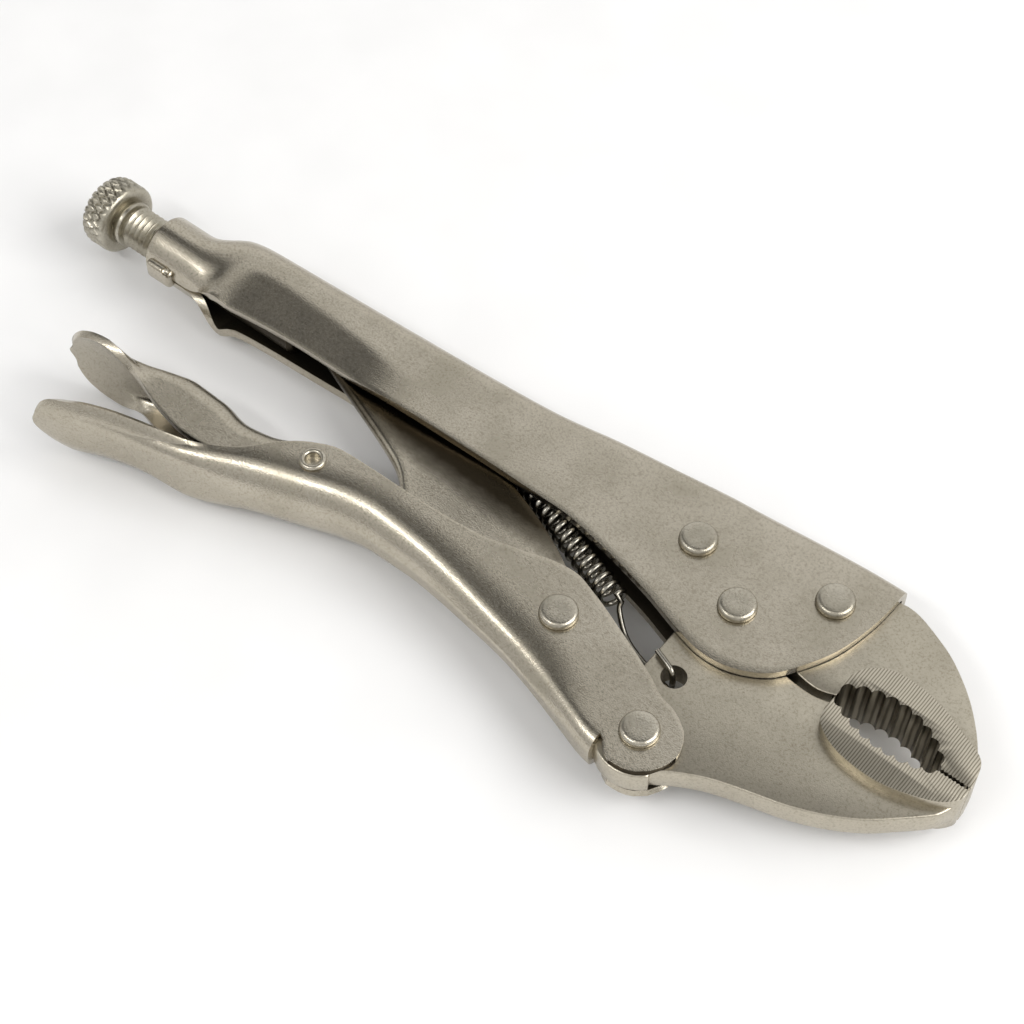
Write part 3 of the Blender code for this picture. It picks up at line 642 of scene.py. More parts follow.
def toothed_arc(start, end, rise, side, depth=1.0):
    """Toothed line from start to end along an arc; side +1 cuts the grooves upwards."""
    chord = (end[0] - start[0], end[1] - start[1])
    length = math.hypot(*chord)
    radius = (length**2 / 4 + rise**2) / (2 * rise)
    unit = (chord[0] / length, chord[1] / length)
    normal = (-unit[1] * side, unit[0] * side)
    centre = [(start[i] + end[i]) / 2 - normal[i] * (radius - rise) for i in (0, 1)]
    half_angle = math.asin(length / 2 / radius)
    total = TOOTH_COUNT * TOOTH_STEPS
    points = []
    for i in range(total + 1):
        swing = half_angle * (2 * i / total - 1)
        reach = radius + depth * abs(math.sin(math.pi * i / TOOTH_STEPS)) ** 0.8
        points.append(tuple(centre[k] + reach * (unit[k] * math.sin(swing)
                                                 + normal[k] * math.cos(swing)) for k in (0, 1)))
    return points


def tip_saw(start_x, y, side):
    """Fine teeth along the straight tips."""
    count = 7
    pitch = (JAW_REACH - 0.5 - start_x) / count
    points = []
    for i in range(count):
        x = start_x + pitch * i
        points += [(x, y), (x + pitch * 0.5, y + side * 0.32)]
    return points + [(JAW_REACH - 0.5, y), (JAW_REACH, y + side * 0.2)]


def along_jaw(points):
    return [(TEETH_START + share * (JAW_REACH - TEETH_START), y) for share, y in points]


fixed_teeth = toothed_arc((TEETH_START, -3.0),
                          (JAW_REACH - TIP_LENGTH - 0.6, TIP_Y + TIP_GAP / 2 + 1.1), 5.2, 1)
moving_teeth = toothed_arc((TEETH_START + 0.2, -5.2),
                           (JAW_REACH - TIP_LENGTH - 0.6, TIP_Y - TIP_GAP / 2 - 0.3), 3.3, -1)
print("teeth:", TOOTH_COUNT, "scallops a side")


# %% [markdown]
# The fixed jaw is riveted between the cheeks. Its teeth slope a little from face to face, which is
# the draft that lets a forging leave its die.

# %% Fixed jaw
def soften(piece, width, segments=3, test=None):
    """Round the sharp edges of a piece, or only those that pass a test."""
    pick(piece, "EDGE", lambda edge: edge.is_manifold and edge.calc_face_angle(0) > 0.75
         and (test is None or test(edge)))
    bpy.ops.mesh.bevel(offset=width, segments=segments, profile=0.5, clamp_overlap=True)
    done()


def draft(piece, line):
    """Slope the toothed face down towards the lower side, as it leaves the forging die."""
    spots = {(round(x, 2), round(y, 2)) for x, y in line}
    pick(piece, "VERT", lambda v: v.co.z < 0 and (round(v.co.x, 2), round(v.co.y, 2)) in spots)
    bpy.ops.transform.translate(value=(0, -1.5, 0))
    done()


def flat_edge(edge):
    return abs(edge.verts[0].co.z - edge.verts[1].co.z) < 1e-4


meet = TIP_Y + TIP_GAP / 2
rear_rivet, front_rivet = middle("fixed_jaw_rear_rivet"), middle("fixed_jaw_front_rivet")
crown = curve_through(along_jaw([(-0.024, 24.4), (0.081, 23.9), (0.260, 21.6), (0.425, 18.8),
                                 (0.623, 13.8), (0.784, 8.2), (0.898, 2.9), (0.964, -1.6),
                                 (1.0, meet + 1.0)]), 6)
hidden = [(rear_rivet.x - 6.2, rear_rivet.y + 1.5), (rear_rivet.x - 5.4, rear_rivet.y + 6.0),
          (rear_rivet.x + 1.0, 19.0), (-6.0, 21.0), (8.0, 22.6), (body_high.x - 3.0, 23.6)]
lower = [(rear_rivet.x - 5.0, rear_rivet.y - 3.6), (rear_rivet.x - 1.5, rear_rivet.y - 5.6)]
around = arc(JAW_PIN, 10.2, 168, 20, 16)
bottom = curve_through([(11.4, -0.4), (14.6, -2.6), (19.0, -4.3), (24.0, -4.8), (28.0, -3.6)], 4)
inside = [(x, y + 1.4) for x, y in fixed_teeth[::TOOTH_STEPS]]
outline = (lower + around + bottom + inside + [(JAW_REACH - 4.0, meet + 1.0),
           (JAW_REACH - 0.6, meet + 1.0)] + crown[::-1] + hidden[::-1])
fixed_jaw = plate("fixed_jaw_forging", outline, -PLATE_HALF, PLATE_HALF)
soften(fixed_jaw, 0.5, test=flat_edge)
band_back = curve_through(along_jaw([(1.0, meet + 0.8), (0.946, 0.6), (0.743, 3.9), (0.554, 6.4),
                                     (0.347, 7.6), (0.171, 7.1), (0.045, 4.2), (-0.006, 0.4)]), 6)
band = plate("band", fixed_teeth + tip_saw(JAW_REACH - TIP_LENGTH, meet, 1) + band_back,
             -BAND_HALF, BAND_HALF)
draft(band, fixed_teeth + tip_saw(JAW_REACH - TIP_LENGTH, meet, 1))
soften(band, 0.18, 2, test=flat_edge)
combine(fixed_jaw, band, "UNION")
settle(fixed_jaw, "body", "fixed_jaw")

# %% [markdown]
# The moving jaw turns on the jaw pivot and carries the lower handle on its lobe. A round hole takes
# the spring's hook.

# %% Moving jaw
HOOK = (-0.8, -21.2)
meet = TIP_Y - TIP_GAP / 2
heel = curve_through([(8.4, -42.6), (12.5, -39.6), (19.0, -36.2)]
                     + along_jaw([(-0.042, -33.6), (0.183, -31.4), (0.407, -28.2), (0.617, -23.9),
                                  (0.784, -18.9), (0.898, -15.2), (0.94, -13.4),
                                  (0.972, -10.9)]), 6)
to_heel = math.degrees(math.atan2(heel[0][1] - HANDLE_PIN.y, heel[0][0] - HANDLE_PIN.x))
lobe = arc(HANDLE_PIN, 9.5, 185, 360 + to_heel, 20)
around = arc(JAW_PIN, 9.7, -28, 215, 24)
inside = [(x, y - 1.4) for x, y in moving_teeth[::TOOTH_STEPS]]
outline = (around + [(-7.5, -12.8), (-7.5, -24.0)] + lobe + heel[1:]
           + [(JAW_REACH - 0.4, -9.2), (JAW_REACH - 0.3, meet - 1.0), (JAW_REACH - 4.0, meet - 1.0)]
           + inside[::-1]
           + curve_through([(28.0, -5.6), (24.0, -6.5), (19.0, -6.3), (14.4, -5.4)], 4)[:-1])
moving_jaw = plate("moving_jaw_forging", outline, -PLATE_HALF, PLATE_HALF)
soften(moving_jaw, 0.5, test=flat_edge)
band_back = curve_through(along_jaw([(1.0, meet - 2.0), (0.985, meet - 3.2), (0.93, meet - 5.3),
                                     (0.820, -14.0), (0.599, -16.3), (0.407, -16.7),
                                     (0.198, -15.6), (0.042, -12.6), (0.0, -9.0)]), 6)
band = plate("band", moving_teeth + tip_saw(JAW_REACH - TIP_LENGTH, meet, -1) + band_back,
             -BAND_HALF, BAND_HALF)
draft(band, moving_teeth + tip_saw(JAW_REACH - TIP_LENGTH, meet, -1))
soften(band, 0.18, 2, test=flat_edge)
combine(moving_jaw, band, "UNION")
hole = fresh(bpy.ops.mesh.primitive_cylinder_add, "hole", vertices=40, radius=2.85, depth=20,
             location=(*HOOK, 0))
combine(moving_jaw, hole, "DIFFERENCE")
settle(moving_jaw, "jaw", "moving_jaw")

# %% [markdown]
# ## Lower handle
# The lower handle is a channel that opens towards the body. Its blade widens to the tail for the
# palm, and its front ends in two flat ears round the handle pivot, where the web has been cut away.

# %% Lower handle
def handle_rows():
    behind = ((1.000, -56.8, -54.9, 2.4, 0.8), (0.997, -56.7, -54.8, 4.2, 0.9),
              (0.992, -56.5, -54.5, 5.6, 0.9), (0.975, -55.9, -53.7, 8.0, 1.0),
              (0.951, -55.0, -52.7, 9.0, 1.2), (0.928, -53.7, -50.8, 9.3, 1.4),
              (0.893, -51.8, -48.6, 9.3, 2.2), (0.822, -49.2, -45.6, 9.3, 3.2),
              (0.771, -47.9, -43.5, 9.4, 4.0), (0.741, -46.8, -41.3, 9.3, 4.8),
              (0.700, -44.8, -37.1, 9.3, 5.6), (0.665, -42.8, -30.6, 9.2, 6.2),
              (0.629, -40.8, -26.2, 9.2, 6.4), (0.588, -38.6, -23.6, 9.2, 6.4),
              (0.528, -35.6, -23.0, 8.8, 6.2), (0.484, -34.5, -22.7, 8.3, 6.0),
              (0.416, -34.5, -22.0, 7.5, 5.4), (0.352, -35.3, -20.6, 6.8, 4.9),
              (0.297, -36.5, -18.0, 6.1, 4.5), (0.249, -37.6, -15.3, 5.5, 4.2),
              (0.218, -38.5, -14.6, GRIP_HALF, 4.1), (0.175, -40.2, -16.4, GRIP_HALF, 4.0),
              (0.102, -43.6, -20.9, GRIP_HALF, 3.9), (0.038, -46.3, -25.3, GRIP_HALF, 3.8))
    rows = [(HANDLE_PIN.x - share * HANDLE_REACH, *rest) for share, *rest in behind]
    ears = [(0.9, -46.5, -27.9), (4.2, -46.3, -28.6), (7.1, -45.2, -30.0), (9.3, -43.3, -31.6),
            (10.7, -41.0, -33.7), (11.4, -38.9, -35.6), (11.58, -37.5, -36.7)]
    return rows + [(x, low, high, GRIP_HALF, 0.15) for x, low, high in ears]


def past_web(centre):
    """The web of the ears, which the blank doesn't have."""
    return centre.x > -3.2 and abs(centre.z) < GRIP_HALF - 0.02


def handle_wall(x, y, z):
    """Lean the walls in a little towards the web, as the punch's draft leaves them."""
    share = smooth(-118.0, -104.0, x) * (1 - smooth(-26.0, -8.0, x))
    if share > 0 and z > 1:
        near_web = max(0.0, 10.5 - (y - interpolate(handle_rows(), x)[0]))
        z -= share * 0.34 * near_web * near_web / 21.0 * min(1.0, (z - 1) / 3)
    return y, z


def blade_dish(x):
    return 0.8 * (1 - smooth(-134.0, -112.0, x))


handle = folded("lower_handle_channel", handle_rows(), SHEET, 1.6, handle_wall, dish=blade_dish,
                drop=past_web)


def pierce(piece, centre, radius):
    """Cut a round hole through a piece along Z."""
    tool = fresh(bpy.ops.mesh.primitive_cylinder_add, "punch", vertices=40, radius=radius,
                 depth=40, location=(centre.x, centre.y, 0))
    combine(piece, tool, "DIFFERENCE")


pierce(handle, LEVER_PIN, 2.0)
settle(handle, "handle", "lower_handle")


# %% [markdown]
# ## Release lever
# A second, smaller channel lies inside the lower handle and opens the other way. Its rear flattens
# to a dished paddle for the fingertips, and it turns on a tubular rivet.

# %% Release lever
def lever_rows():
    tip, neck = LEVER_PIN.x - 70.9, LEVER_PIN.x
    wide = interpolate(handle_rows(), neck)[2] - SHEET - 0.3
    return [(tip, -34.9, -35.6, 0.20 * PADDLE_HALF, 0.4),
            (tip + 0.4, -34.9, -35.6, 0.30 * PADDLE_HALF, 0.4),
            (tip + 1.0, -34.8, -35.6, 0.42 * PADDLE_HALF, 0.4),
            (tip + 2.2, -34.6, -35.5, 0.58 * PADDLE_HALF, 0.5),
            (tip + 4.6, -34.1, -35.2, 0.79 * PADDLE_HALF, 0.6),
            (tip + 9.0, -33.3, -34.7, 0.96 * PADDLE_HALF, 0.8),
            (tip + 13.0, -32.8, -34.4, PADDLE_HALF, 1.0),
            (neck - 53.0, -32.0, -34.8, 0.91 * PADDLE_HALF, 2.2),
            (neck - 48.5, -30.8, -36.0, wide + 1.7, 4.0),
            (neck - 43.5, -28.6, -37.8, wide + 0.6, 4.8),
            (neck - 38.0, -27.0, -39.4, wide + 0.2, 5.0),
            (neck - 29.0, -27.2, -40.8, wide, 5.0),
            (neck - 21.0, -28.6, -40.2, wide, 5.0),
            (neck - 13.5, -27.6, -38.2, wide, 4.6),
            (neck - 6.5, -25.2, -36.2, wide - 0.1, 3.2),
            (neck, -24.4, -34.4, wide - 0.2, 3.0),
            (neck + 13.0, -25.4, -31.6, wide - 1.1, 2.6),
            (neck + 23.0, -27.0, -30.6, wide - 2.3, 2.0)]


def paddle_dish(x):
    return 1 - smooth(LEVER_PIN.x - 58.0, LEVER_PIN.x - 44.0, x)


lever = folded("release_lever_sheet", lever_rows(), 1.8, 1.6, dish=paddle_dish, dark_inside=False,
               even=False)
pierce(lever, LEVER_PIN, 2.0)
settle(lever, "lever", "release_lever")

# %% [markdown]
# ## Toggle link
# The link is sheet folded double: its two walls nearly touch at the fold and spread towards the
# body. It is laid as a grid in rows across the fold, and Solidify gives it the sheet's thickness.

# %% Toggle link
eye, nose, fold_r = LINK_PIN, Vector((-118.0, 0.9, 0)), 2.5


def evenly(points, count):
    """The same line with its points spread evenly along it."""
    reach = [0.0]
    for a, b in zip(points, points[1:]):
        reach.append(reach[-1] + math.dist(a, b))
    out = []
    for i in range(count):
        want = reach[-1] * i / (count - 1)
        k = max(1, next((n for n, r in enumerate(reach) if r >= want - 1e-9), len(reach) - 1))
        t = (want - reach[k - 1]) / (reach[k] - reach[k - 1])
        out.append(tuple(a + (b - a) * t for a, b in zip(points[k - 1], points[k])))
    return out


front = curve_through([(nose.x + 1.0, nose.y + 4.2), (-98.0, 4.6), (-80.0, 2.6), (-63.0, -2.4),
                       (-50.0, -6.6), (eye.x - 10.5, -11.6), (eye.x + 1.5, eye.y + 6.1)], 8)
back = curve_through([(nose.x + 3.0, nose.y - 3.6), (-102.2, -7.4), (-87.0, -13.3),
                      (-80.5, -16.9), (-74.5, -22.4), (-66.0, -25.9), (-56.0, -28.6),
                      (-42.0, -31.0), (eye.x - 1.0, eye.y - 6.3)], 8)
pairs = list(zip(arc(nose, 4.2, 246, 172, 6)[::-1][:-1], arc(nose, 4.2, 80, 168, 6)[::-1][:-1]))
pairs += list(zip(evenly(back, 70), evenly(front, 70)))
pairs += list(zip(arc(eye, 6.3, -88, -4, 7), arc(eye, 6.3, 86, 4, 7)))
FACE_STEPS, CORNER_STEPS = 16, 6
sections = []
for a, b in pairs:
    span = math.dist(a, b)
    unit = ((b[0] - a[0]) / span, (b[1] - a[1]) / span)
    far_from_eye = smooth(16.0, 34.0, math.dist(a, eye.xy))
    corner = min(fold_r - 0.9 * far_from_eye, span * 0.45)
    fold_half = PLATE_HALF * (1 - 0.42 * far_from_eye)
    near = []
    for i in range(FACE_STEPS):
        along = span + (corner - span) * i / FACE_STEPS
        spread = max(0.0, along - 3.5) / (span - 3.5)
        near.append((along, PLATE_HALF * (1 - 0.42 * far_from_eye * (1 - spread**1.7))))
    for i in range(CORNER_STEPS + 1):
        turn = math.pi / 2 * i / CORNER_STEPS
        near.append((corner * (1 - math.sin(turn)), fold_half - corner * (1 - math.cos(turn))))
    near.append((0.0, 0.0))
    line = [(a[0] + unit[0] * r, a[1] + unit[1] * r, z) for r, z in near]
    sections.append(line + [(x, y, -z) for x, y, z in line[-2::-1]])
link = sheet_grid("toggle_link_fold", sections)
face_up(link)
link.data.materials.append(link_shaded_finish)
# the link's inner shell takes the same dark paint: painted shade
link.data.materials.append(inside_shade_paint)
apply(link, "SOLIDIFY", thickness=1.5, offset=-1, use_even_offset=True, material_offset=1)
apply(link, "BEVEL", width=0.3, segments=2, limit_method="ANGLE", angle_limit=math.radians(50))
settle(link, "link", "toggle_link", angle=50)


# %% [markdown]
# ## Rivets and eyelet
# Five solid rivets are headed on both sides, and the hammer leaves each head a flat top and a
# bright rounded bevel. They are alike, so one is turned and copied to each place.

# %% Rivets
seat, top = GRIP_HALF + 0.02, MID_Z
upper = [(3.0, seat), (HEAD_R - 0.3, seat), (HEAD_R - 0.12, seat + 0.16), (HEAD_R, seat + 0.35),
         (HEAD_R - 0.04, seat + 0.7), (HEAD_R - 0.2, top - 0.5), (3.85, top - 0.2),
         (3.5, top - 0.05), (3.2, top), (1.6, top - 0.04), (0.0, top - 0.05)]
first = turned("rivet", upper + [(r, -z) for r, z in upper[::-1]])
for node, body_name in (("fixed_jaw_rear_rivet", "body"), ("fixed_jaw_front_rivet", "body"),
                        ("jaw_pivot_rivet", "body"), ("handle_pivot_rivet", "handle"),
                        ("link_pivot_rivet", "handle")):
    activate(first)
    bpy.ops.object.duplicate(linked=False)
    pin = bpy.context.object
    pin.name = pin.data.name = node.replace("_rivet", "_pin")
    spot = middle(node)
    lay(pin, place=(spot.x, spot.y, 0))
    settle(pin, body_name, node, angle=40)
bpy.data.objects.remove(first, do_unlink=True)

# %% [markdown]
# The release lever's rivet is a tube whose ends are rolled over into lips. Its bore is drawn closed
# a little way down, where it is too dark to see into.

# %% Eyelet
wall_half = interpolate(handle_rows(), LEVER_PIN.x)[2]
lip = [(2.36 + 0.70 * math.cos(a), wall_half + 0.22 + 0.66 * math.sin(a))
       for a in (math.radians(degrees) for degrees in range(-10, 191, 20))]
upper = ([(2.32, wall_half - 0.1), (2.75, wall_half + 0.0)] + lip
         + [(1.62, wall_half - 1.3), (0.0, wall_half - 1.45)])
eyelet = turned("lever_tube_rivet", upper + [(r, -z) for r, z in upper[::-1]])
lay(eyelet, place=(LEVER_PIN.x, LEVER_PIN.y, 0))
settle(eyelet, "handle", "lever_eyelet", angle=50)

# %% [markdown]
# ## Adjusting screw
# The screw has a coarse V thread, a bright turned collar and a domed knob with a crossed knurl. The
# thread is a helix, so its profile is run round the shank by the Screw modifier; the knurl is
# pressed into a turned knob by moving its skin along two crossed sets of ridges.

# %% Screw thread
collar_x = -BODY_REACH - 11.0
knob_x = collar_x - 2.1
knob_rear = screw_low.x
PITCH = 1.6
SCREW_R = 5.2
CORE_R = 3.2  # only helps to shape the profile; it is cut away again below
thread_start, thread_end = collar_x - 0.5, -BODY_REACH + 6.0
turns = math.ceil((thread_end - thread_start) / PITCH)
thread = fresh(bpy.ops.mesh.primitive_circle_add, "screw_thread", vertices=8, radius=1)
tooth = [(CORE_R, 0.0), (SCREW_R - 0.95, 0.0), (SCREW_R - 0.75, 0.18 * PITCH),
         (SCREW_R - 0.1, 0.42 * PITCH), (SCREW_R, 0.5 * PITCH), (SCREW_R - 0.1, 0.58 * PITCH),
         (SCREW_R - 0.75, 0.82 * PITCH), (SCREW_R - 0.95, 0.999 * PITCH)]
thread.data.vertices.foreach_set("co", [c for r, z in tooth for c in (r, 0.0, z)])
pick(thread, "EDGE", lambda edge: abs(edge.verts[0].index - edge.verts[1].index) > 3
     or 0 in (edge.verts[0].index, edge.verts[1].index))
bpy.ops.mesh.delete(type="EDGE")
done()
apply(thread, "SCREW", axis="Z", angle=math.tau, screw_offset=PITCH, iterations=turns, steps=40,
      render_steps=40, use_merge_vertices=True, merge_threshold=0.003, use_normal_calculate=True)
pick(thread, "VERT", lambda vert: math.hypot(vert.co.x, vert.co.y) < CORE_R + 0.1)
bpy.ops.mesh.delete(type="VERT")
done()
close(thread, 0.01)
lay(thread, along_x=True, place=(thread_start, SCREW_Y, 0))
print("thread turns:", turns)

# %% [markdown]
# Shank, collar and knob are turned on the same axis. The knurl's two sets of grooves wind opposite
# ways round the knob and run out over its dome.

# %% Shank and knob
tip_x = screw_high.x
shank = turned("screw_shank", [(0.0, thread_start - 1.0), (SCREW_R - 0.9, thread_start - 1.0),
                               (SCREW_R - 0.9, thread_end - 0.6), (SCREW_R - 0.4, thread_end),
                               (SCREW_R, thread_end + 0.8), (SCREW_R, tip_x - 1.0),
                               (SCREW_R - 1.0, tip_x), (0.0, tip_x)], 40)
lay(shank, along_x=True, place=(0, SCREW_Y, 0))
collar = turned("screw_collar", [(0.0, knob_x - 0.5), (5.3, knob_x - 0.5), (5.35, knob_x + 0.3),
                                 (5.75, knob_x + 0.75), (5.8, collar_x - 0.55),
                                 (5.55, collar_x - 0.12), (5.0, collar_x), (0.0, collar_x)])
lay(collar, along_x=True, place=(0, SCREW_Y, 0))
KNOB_R = 8.9
DOME_DEPTH = 3.4
KNURL_ROWS, KNURL_RUN, KNURL_DEPTH = 24, 4.2, 0.55
dome = [(KNOB_R * math.sin(a) * 0.985, knob_rear + DOME_DEPTH * (1 - math.cos(a)))
        for a in (math.radians(degrees) for degrees in range(0, 81, 8))]
skin = [(KNOB_R, knob_rear + 3.6 + i * 0.35) for i in range(14)]
face = [(KNOB_R - 0.15, knob_x - 0.75), (KNOB_R - 0.5, knob_x - 0.3), (KNOB_R - 1.1, knob_x - 0.05),
        (7.2, knob_x), (6.1, knob_x - 0.1), (5.6, knob_x - 0.35), (0.0, knob_x - 0.35)]
knob = turned("screw_knob", dome + skin + face, 192)
for vert in knob.data.vertices:
    radius = math.hypot(vert.co.x, vert.co.y)
    if radius > 1e-3:
        turn = math.atan2(vert.co.y, vert.co.x)
        across = vert.co.z - knob_rear
        share = smooth(3.0, 7.0, radius) * (1 - smooth(7.6, 8.9, across))
        ridge = [abs((turn * KNURL_ROWS / math.tau + sign * across / KNURL_RUN) % 1.0 * 2 - 1)
                 for sign in (1, -1)]
        groove = max(smooth(0.55, 1.0, 1 - height) for height in ridge)
        press = KNURL_DEPTH * share * groove
        vert.co.x *= (radius - press) / radius
        vert.co.y *= (radius - press) / radius
        vert.co.z += 0.55 * press * (1 - smooth(2.0, 3.6, across))
lay(knob, along_x=True, place=(0, SCREW_Y, 0))
activate(shank)
for part in (shank, thread, collar, knob):
    part.data.materials.append(turned_steel)
    part.data.materials.append(inside_shade_paint)
# the shank's front end, hidden in the body's tube, takes the dark paint: painted shade
for face in shank.data.polygons:
    face.material_index = int(face.center.x > thread_end - 1.0)
for part in (thread, collar, knob):
    part.select_set(True)
bpy.ops.object.join()
shank.name = shank.data.name = "adjusting_screw_turned"
settle(shank, "screw", "adjusting_screw", angle=40)

# %% [markdown]
# ## Return spring
# A close-wound tension spring hangs from the body's tab and hooks through the moving jaw. Its wire
# is a curve with a round bevel, made a mesh, that runs between the body and the jaw.

# %% Spring
WIRE_R, COIL_R, COIL_PITCH = 0.64, 2.7, 2.7
TAB, COIL_START = (-86.0, 11.4), (-22.9, -12.2)
run = (TAB[0] - COIL_START[0], TAB[1] - COIL_START[1])
length = math.hypot(*run)
ux, uy = run[0] / length, run[1] / length
coil = (length - 9.0 - 2 * COIL_PITCH) // COIL_PITCH * COIL_PITCH


def on_coil(along, radius, angle):
    across = radius * math.cos(angle)
    return (COIL_START[0] + ux * along - uy * across, COIL_START[1] + uy * along + ux * across,
            radius * math.sin(angle))


per_turn = 20
steps = round(coil / COIL_PITCH) * per_turn
level = PLATE_HALF + 0.3 + WIRE_R
hook_x, hook_y = HOOK
head = curve_through([(TAB[0] - 2.5, TAB[1] - 3.0, 0), (TAB[0] - 2.4, TAB[1] - 0.7, 0),
                      (TAB[0] - 1.7, TAB[1], 0), (TAB[0] + 2.0, TAB[1], 0),
                      on_coil(coil + COIL_PITCH + 4.6, 0.3, 0)], 5)
turns_path = [on_coil(coil * (1 - i / steps), COIL_R, math.pi / 2 - math.tau * i / per_turn)
              for i in range(steps + 1)]
tail = curve_through([(COIL_START[0] + 1.5, COIL_START[1] + 0.1, 0.9),
                      (COIL_START[0] + 2.1, COIL_START[1] - 1.3, -0.6),
                      (hook_x - 16.0, hook_y + 5.0, -level + 0.3),
                      (hook_x - 10.0, hook_y + 2.6, -level), (hook_x - 1.6, hook_y + 0.5, -level),
                      (hook_x - 0.4, hook_y + 0.1, -level * 0.55),
                      (hook_x - 0.2, hook_y, 0), (hook_x - 0.4, hook_y + 0.1, level * 0.55),
                      (hook_x - 1.6, hook_y + 0.7, level), (hook_x - 6.3, hook_y + 2.5, level)], 5)
path = head + turns_path + tail
wire = bpy.data.curves.new("spring_wire_path", "CURVE")
wire.dimensions = "3D"
wire.bevel_depth = WIRE_R
wire.bevel_resolution = 2
wire.use_fill_caps = True
spline = wire.splines.new("POLY")
spline.points.add(len(path) - 1)
for point, place in zip(spline.points, path):
    point.co = (*place, 1.0)
spring = bpy.data.objects.new("return_spring", wire)
bpy.context.scene.collection.objects.link(spring)
activate(spring)
bpy.ops.object.convert(target="MESH")
spring = bpy.context.object
close(spring, 0.001)
settle(spring, None, "tension_spring", angle=60)
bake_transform(spring)


# %% [markdown]
# ## Finishes put on
# The rivets, the eyelet and the spring take one finish each. On the jaws the faces are chosen by
# place: flat tops of the bands are ground, the walls along the tooth lines are broached.

# %% Put the finishes on
def coat(piece, *materials):
    piece.data.materials.clear()
    for material in materials:
        piece.data.materials.append(material)


for item in bpy.data.objects:
    if item.type == "MESH" and item.name.endswith("_pin"):
        coat(item, bright)
coat(eyelet, bright)
coat(spring, wire_steel)
for piece in (fixed_jaw, moving_jaw):
    coat(piece, forged, band_face, band_teeth)
    teeth_line = fixed_teeth if piece is fixed_jaw else moving_teeth
    for face in piece.data.polygons:
        x, y = face.center.x / MM, face.center.y / MM
        if abs(face.center.z / MM - MID_Z) > PLATE_HALF + 1.0 and abs(face.normal.z) > 0.7:
            face.material_index = 1
        elif TEETH_START - 1 < x < JAW_REACH - 0.6 and abs(face.normal.z) < 0.3:
            gap = min(math.hypot(x - a, y - b) for a, b in teeth_line[::3])
            if gap < 1.3 or (x > JAW_REACH - TIP_LENGTH - 0.8 and abs(y - TIP_Y) < 0.8):
                face.material_index = 2
print("coated the jaws and pressings")

# %% [markdown]
# ## Studio
# A plain pale floor under an even pale room. The room's upper part has a darker gap between the
# light and the backdrop, which is what draws shape on bare metal.

# %% Floor
low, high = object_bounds()
floor = fresh(bpy.ops.mesh.primitive_plane_add, "floor", size=6.0,
              location=(0, 0, low[2] - 0.0002))
bpy.ops.object.transform_apply(location=True, rotation=True, scale=True)
paint, paint_shader = new_metal("pale_paper", "F3F3F3", 0.9)
paint_shader.inputs["Metallic"].default_value = 0.0
paper_space = add(paint, "ShaderNodeTexCoord").outputs["Object"]
fibre = add(paint, "ShaderNodeTexNoise", {"Vector": paper_space}, {"Scale": 40.0, "Detail": 2.0})
paper = ramp(paint, fibre.outputs["Fac"], [(0.3, srgb("F0F0F1")), (0.7, srgb("F4F4F5"))])
paint.node_tree.links.new(paper.outputs["Color"], paint_shader.inputs["Base Color"])
coat(floor, paint)
print("floor at", round(floor.data.vertices[0].co.z / MM, 1), "mm")

# %% [markdown]
# The room is drawn from directions alone: a ramp from front to back overhead, a paler one at eye
# level, and a soft change between them by height.

# %% Room light
room = bpy.data.worlds.new("studio_room")
bpy.context.scene.world = room
room.use_nodes = True
for node in list(room.node_tree.nodes):
    room.node_tree.nodes.remove(node)
direction = add(room, "ShaderNodeTexCoord").outputs["Generated"]
axes = add(room, "ShaderNodeSeparateXYZ", {"Vector": direction})
to_unit = add(room, "ShaderNodeMapRange", {"Value": axes.outputs["Y"]},
              {"From Min": -1.0, "From Max": 1.0})


def grey(value):
    return (value, value * 0.995, value * 0.975, 1.0)


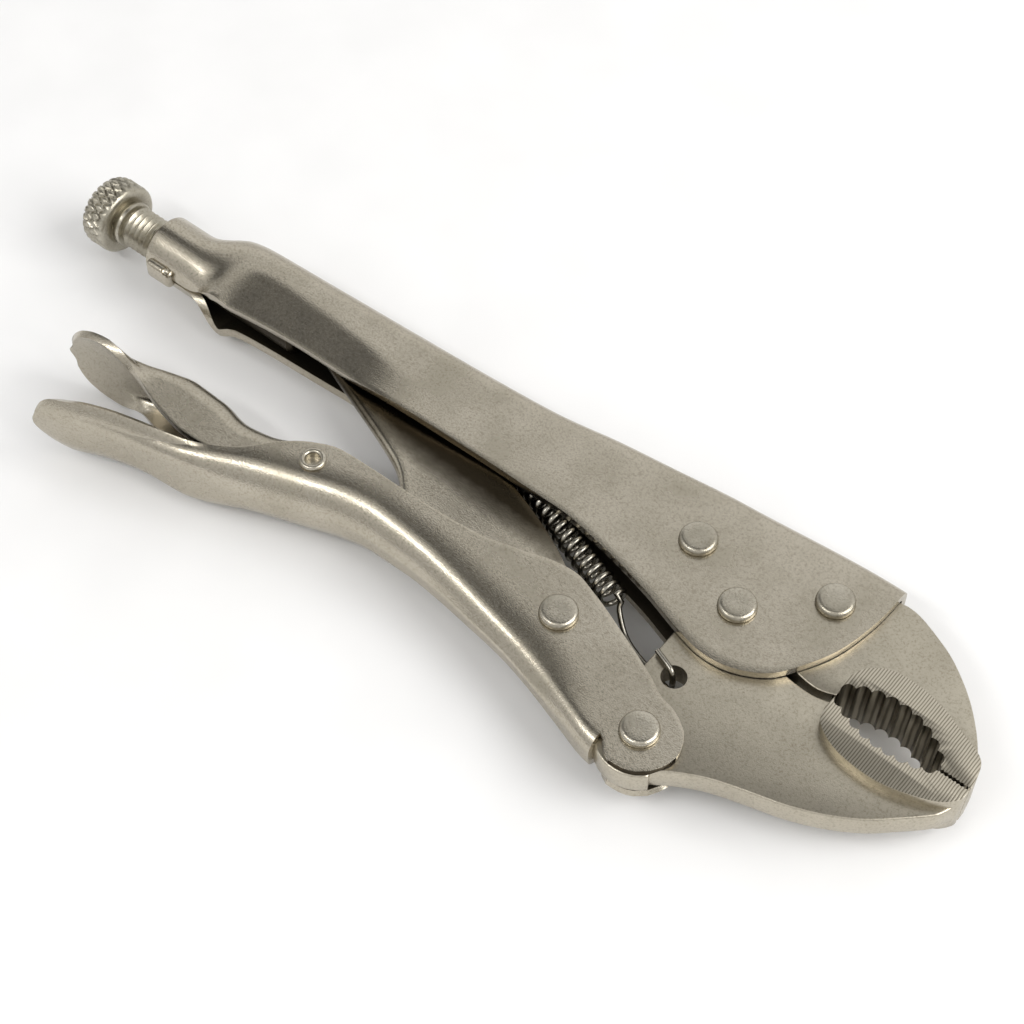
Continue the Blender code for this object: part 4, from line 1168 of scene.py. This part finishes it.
overhead = ramp(room, to_unit.outputs["Result"], [
    (0.00, grey(0.72)), (0.14, grey(0.82)), (0.30, grey(0.85)), (0.42, grey(0.75)),
    (0.50, grey(0.12)), (0.64, grey(0.10)), (0.68, grey(0.62)), (0.72, grey(0.95)),
    (1.00, grey(0.92))])
eye_level = ramp(room, to_unit.outputs["Result"], [
    (0.0, grey(0.62)), (0.5, grey(0.60)), (1.0, grey(0.85))])
height = add(room, "ShaderNodeMapRange", {"Value": axes.outputs["Z"]},
             {"From Min": 0.25, "From Max": 0.55})
mix = add(room, "ShaderNodeMix", {"Factor": height.outputs["Result"]}, data_type="RGBA")
room.node_tree.links.new(eye_level.outputs["Color"], mix.inputs["A"])
room.node_tree.links.new(overhead.outputs["Color"], mix.inputs["B"])
back = add(room, "ShaderNodeBackground", {"Color": mix.outputs["Result"]}, {"Strength": 1.0})
add(room, "ShaderNodeOutputWorld", {"Surface": back.outputs["Background"]})
print("room lit")

# %% [markdown]
# A narrow strip over the tool's lower side puts one bright line on its bends, and a broad light
# beyond the jaws keeps the floor pale.

# %% Soft lights
def softbox(name, away, width, depth, watts):
    """Area light aimed at the tool from a direction, its width kept along X."""
    light = bpy.data.lights.new(name, "AREA")
    light.shape = "RECTANGLE"
    light.size, light.size_y = width, depth
    light.energy = watts
    light.color = (1.0, 0.99, 0.97)
    lamp = bpy.data.objects.new(name, light)
    bpy.context.scene.collection.objects.link(lamp)
    lamp.location = Vector((-0.05, -0.01, 0.0)) + away
    face = away.normalized()
    side = Vector((1, 0, 0)) - face * face.x
    side.normalize()
    lamp.rotation_euler = Matrix((side, face.cross(side), face)).transposed().to_euler()


softbox("strip_light", Vector((-0.28, -0.60, 0.88)) * 1.1, 0.75, 0.12, 2.6)
softbox("fill_light", Vector((0.85, 0.25, 0.75)) * 1.1, 0.9, 0.9, 12.0)
print("two soft lights")

# %% [markdown]
# ## Camera
# The camera stands above and in front of the jaws, 39 degrees round and 54.5 degrees up, and far
# enough to take in the whole tool with little perspective.

# %% Camera
camera_data = bpy.data.cameras.new("camera")
camera_data.lens = 77.34
camera_data.sensor_width = 36.0
camera = bpy.data.objects.new("camera", camera_data)
bpy.context.scene.collection.objects.link(camera)
target = Vector((-54.98, -7.96, MID_Z)) * MM
turn, climb = math.radians(39.0), math.radians(54.5)
away = Vector((math.sin(turn) * math.cos(climb), -math.cos(turn) * math.cos(climb),
               math.sin(climb)))
DISTANCE = 0.487
camera.location = target + away * DISTANCE
camera.rotation_euler = away.to_track_quat("Z", "Y").to_euler()
bpy.context.scene.camera = camera
bpy.context.scene.view_settings.view_transform = "Standard"
print("camera at", tuple(round(v, 3) for v in camera.location))
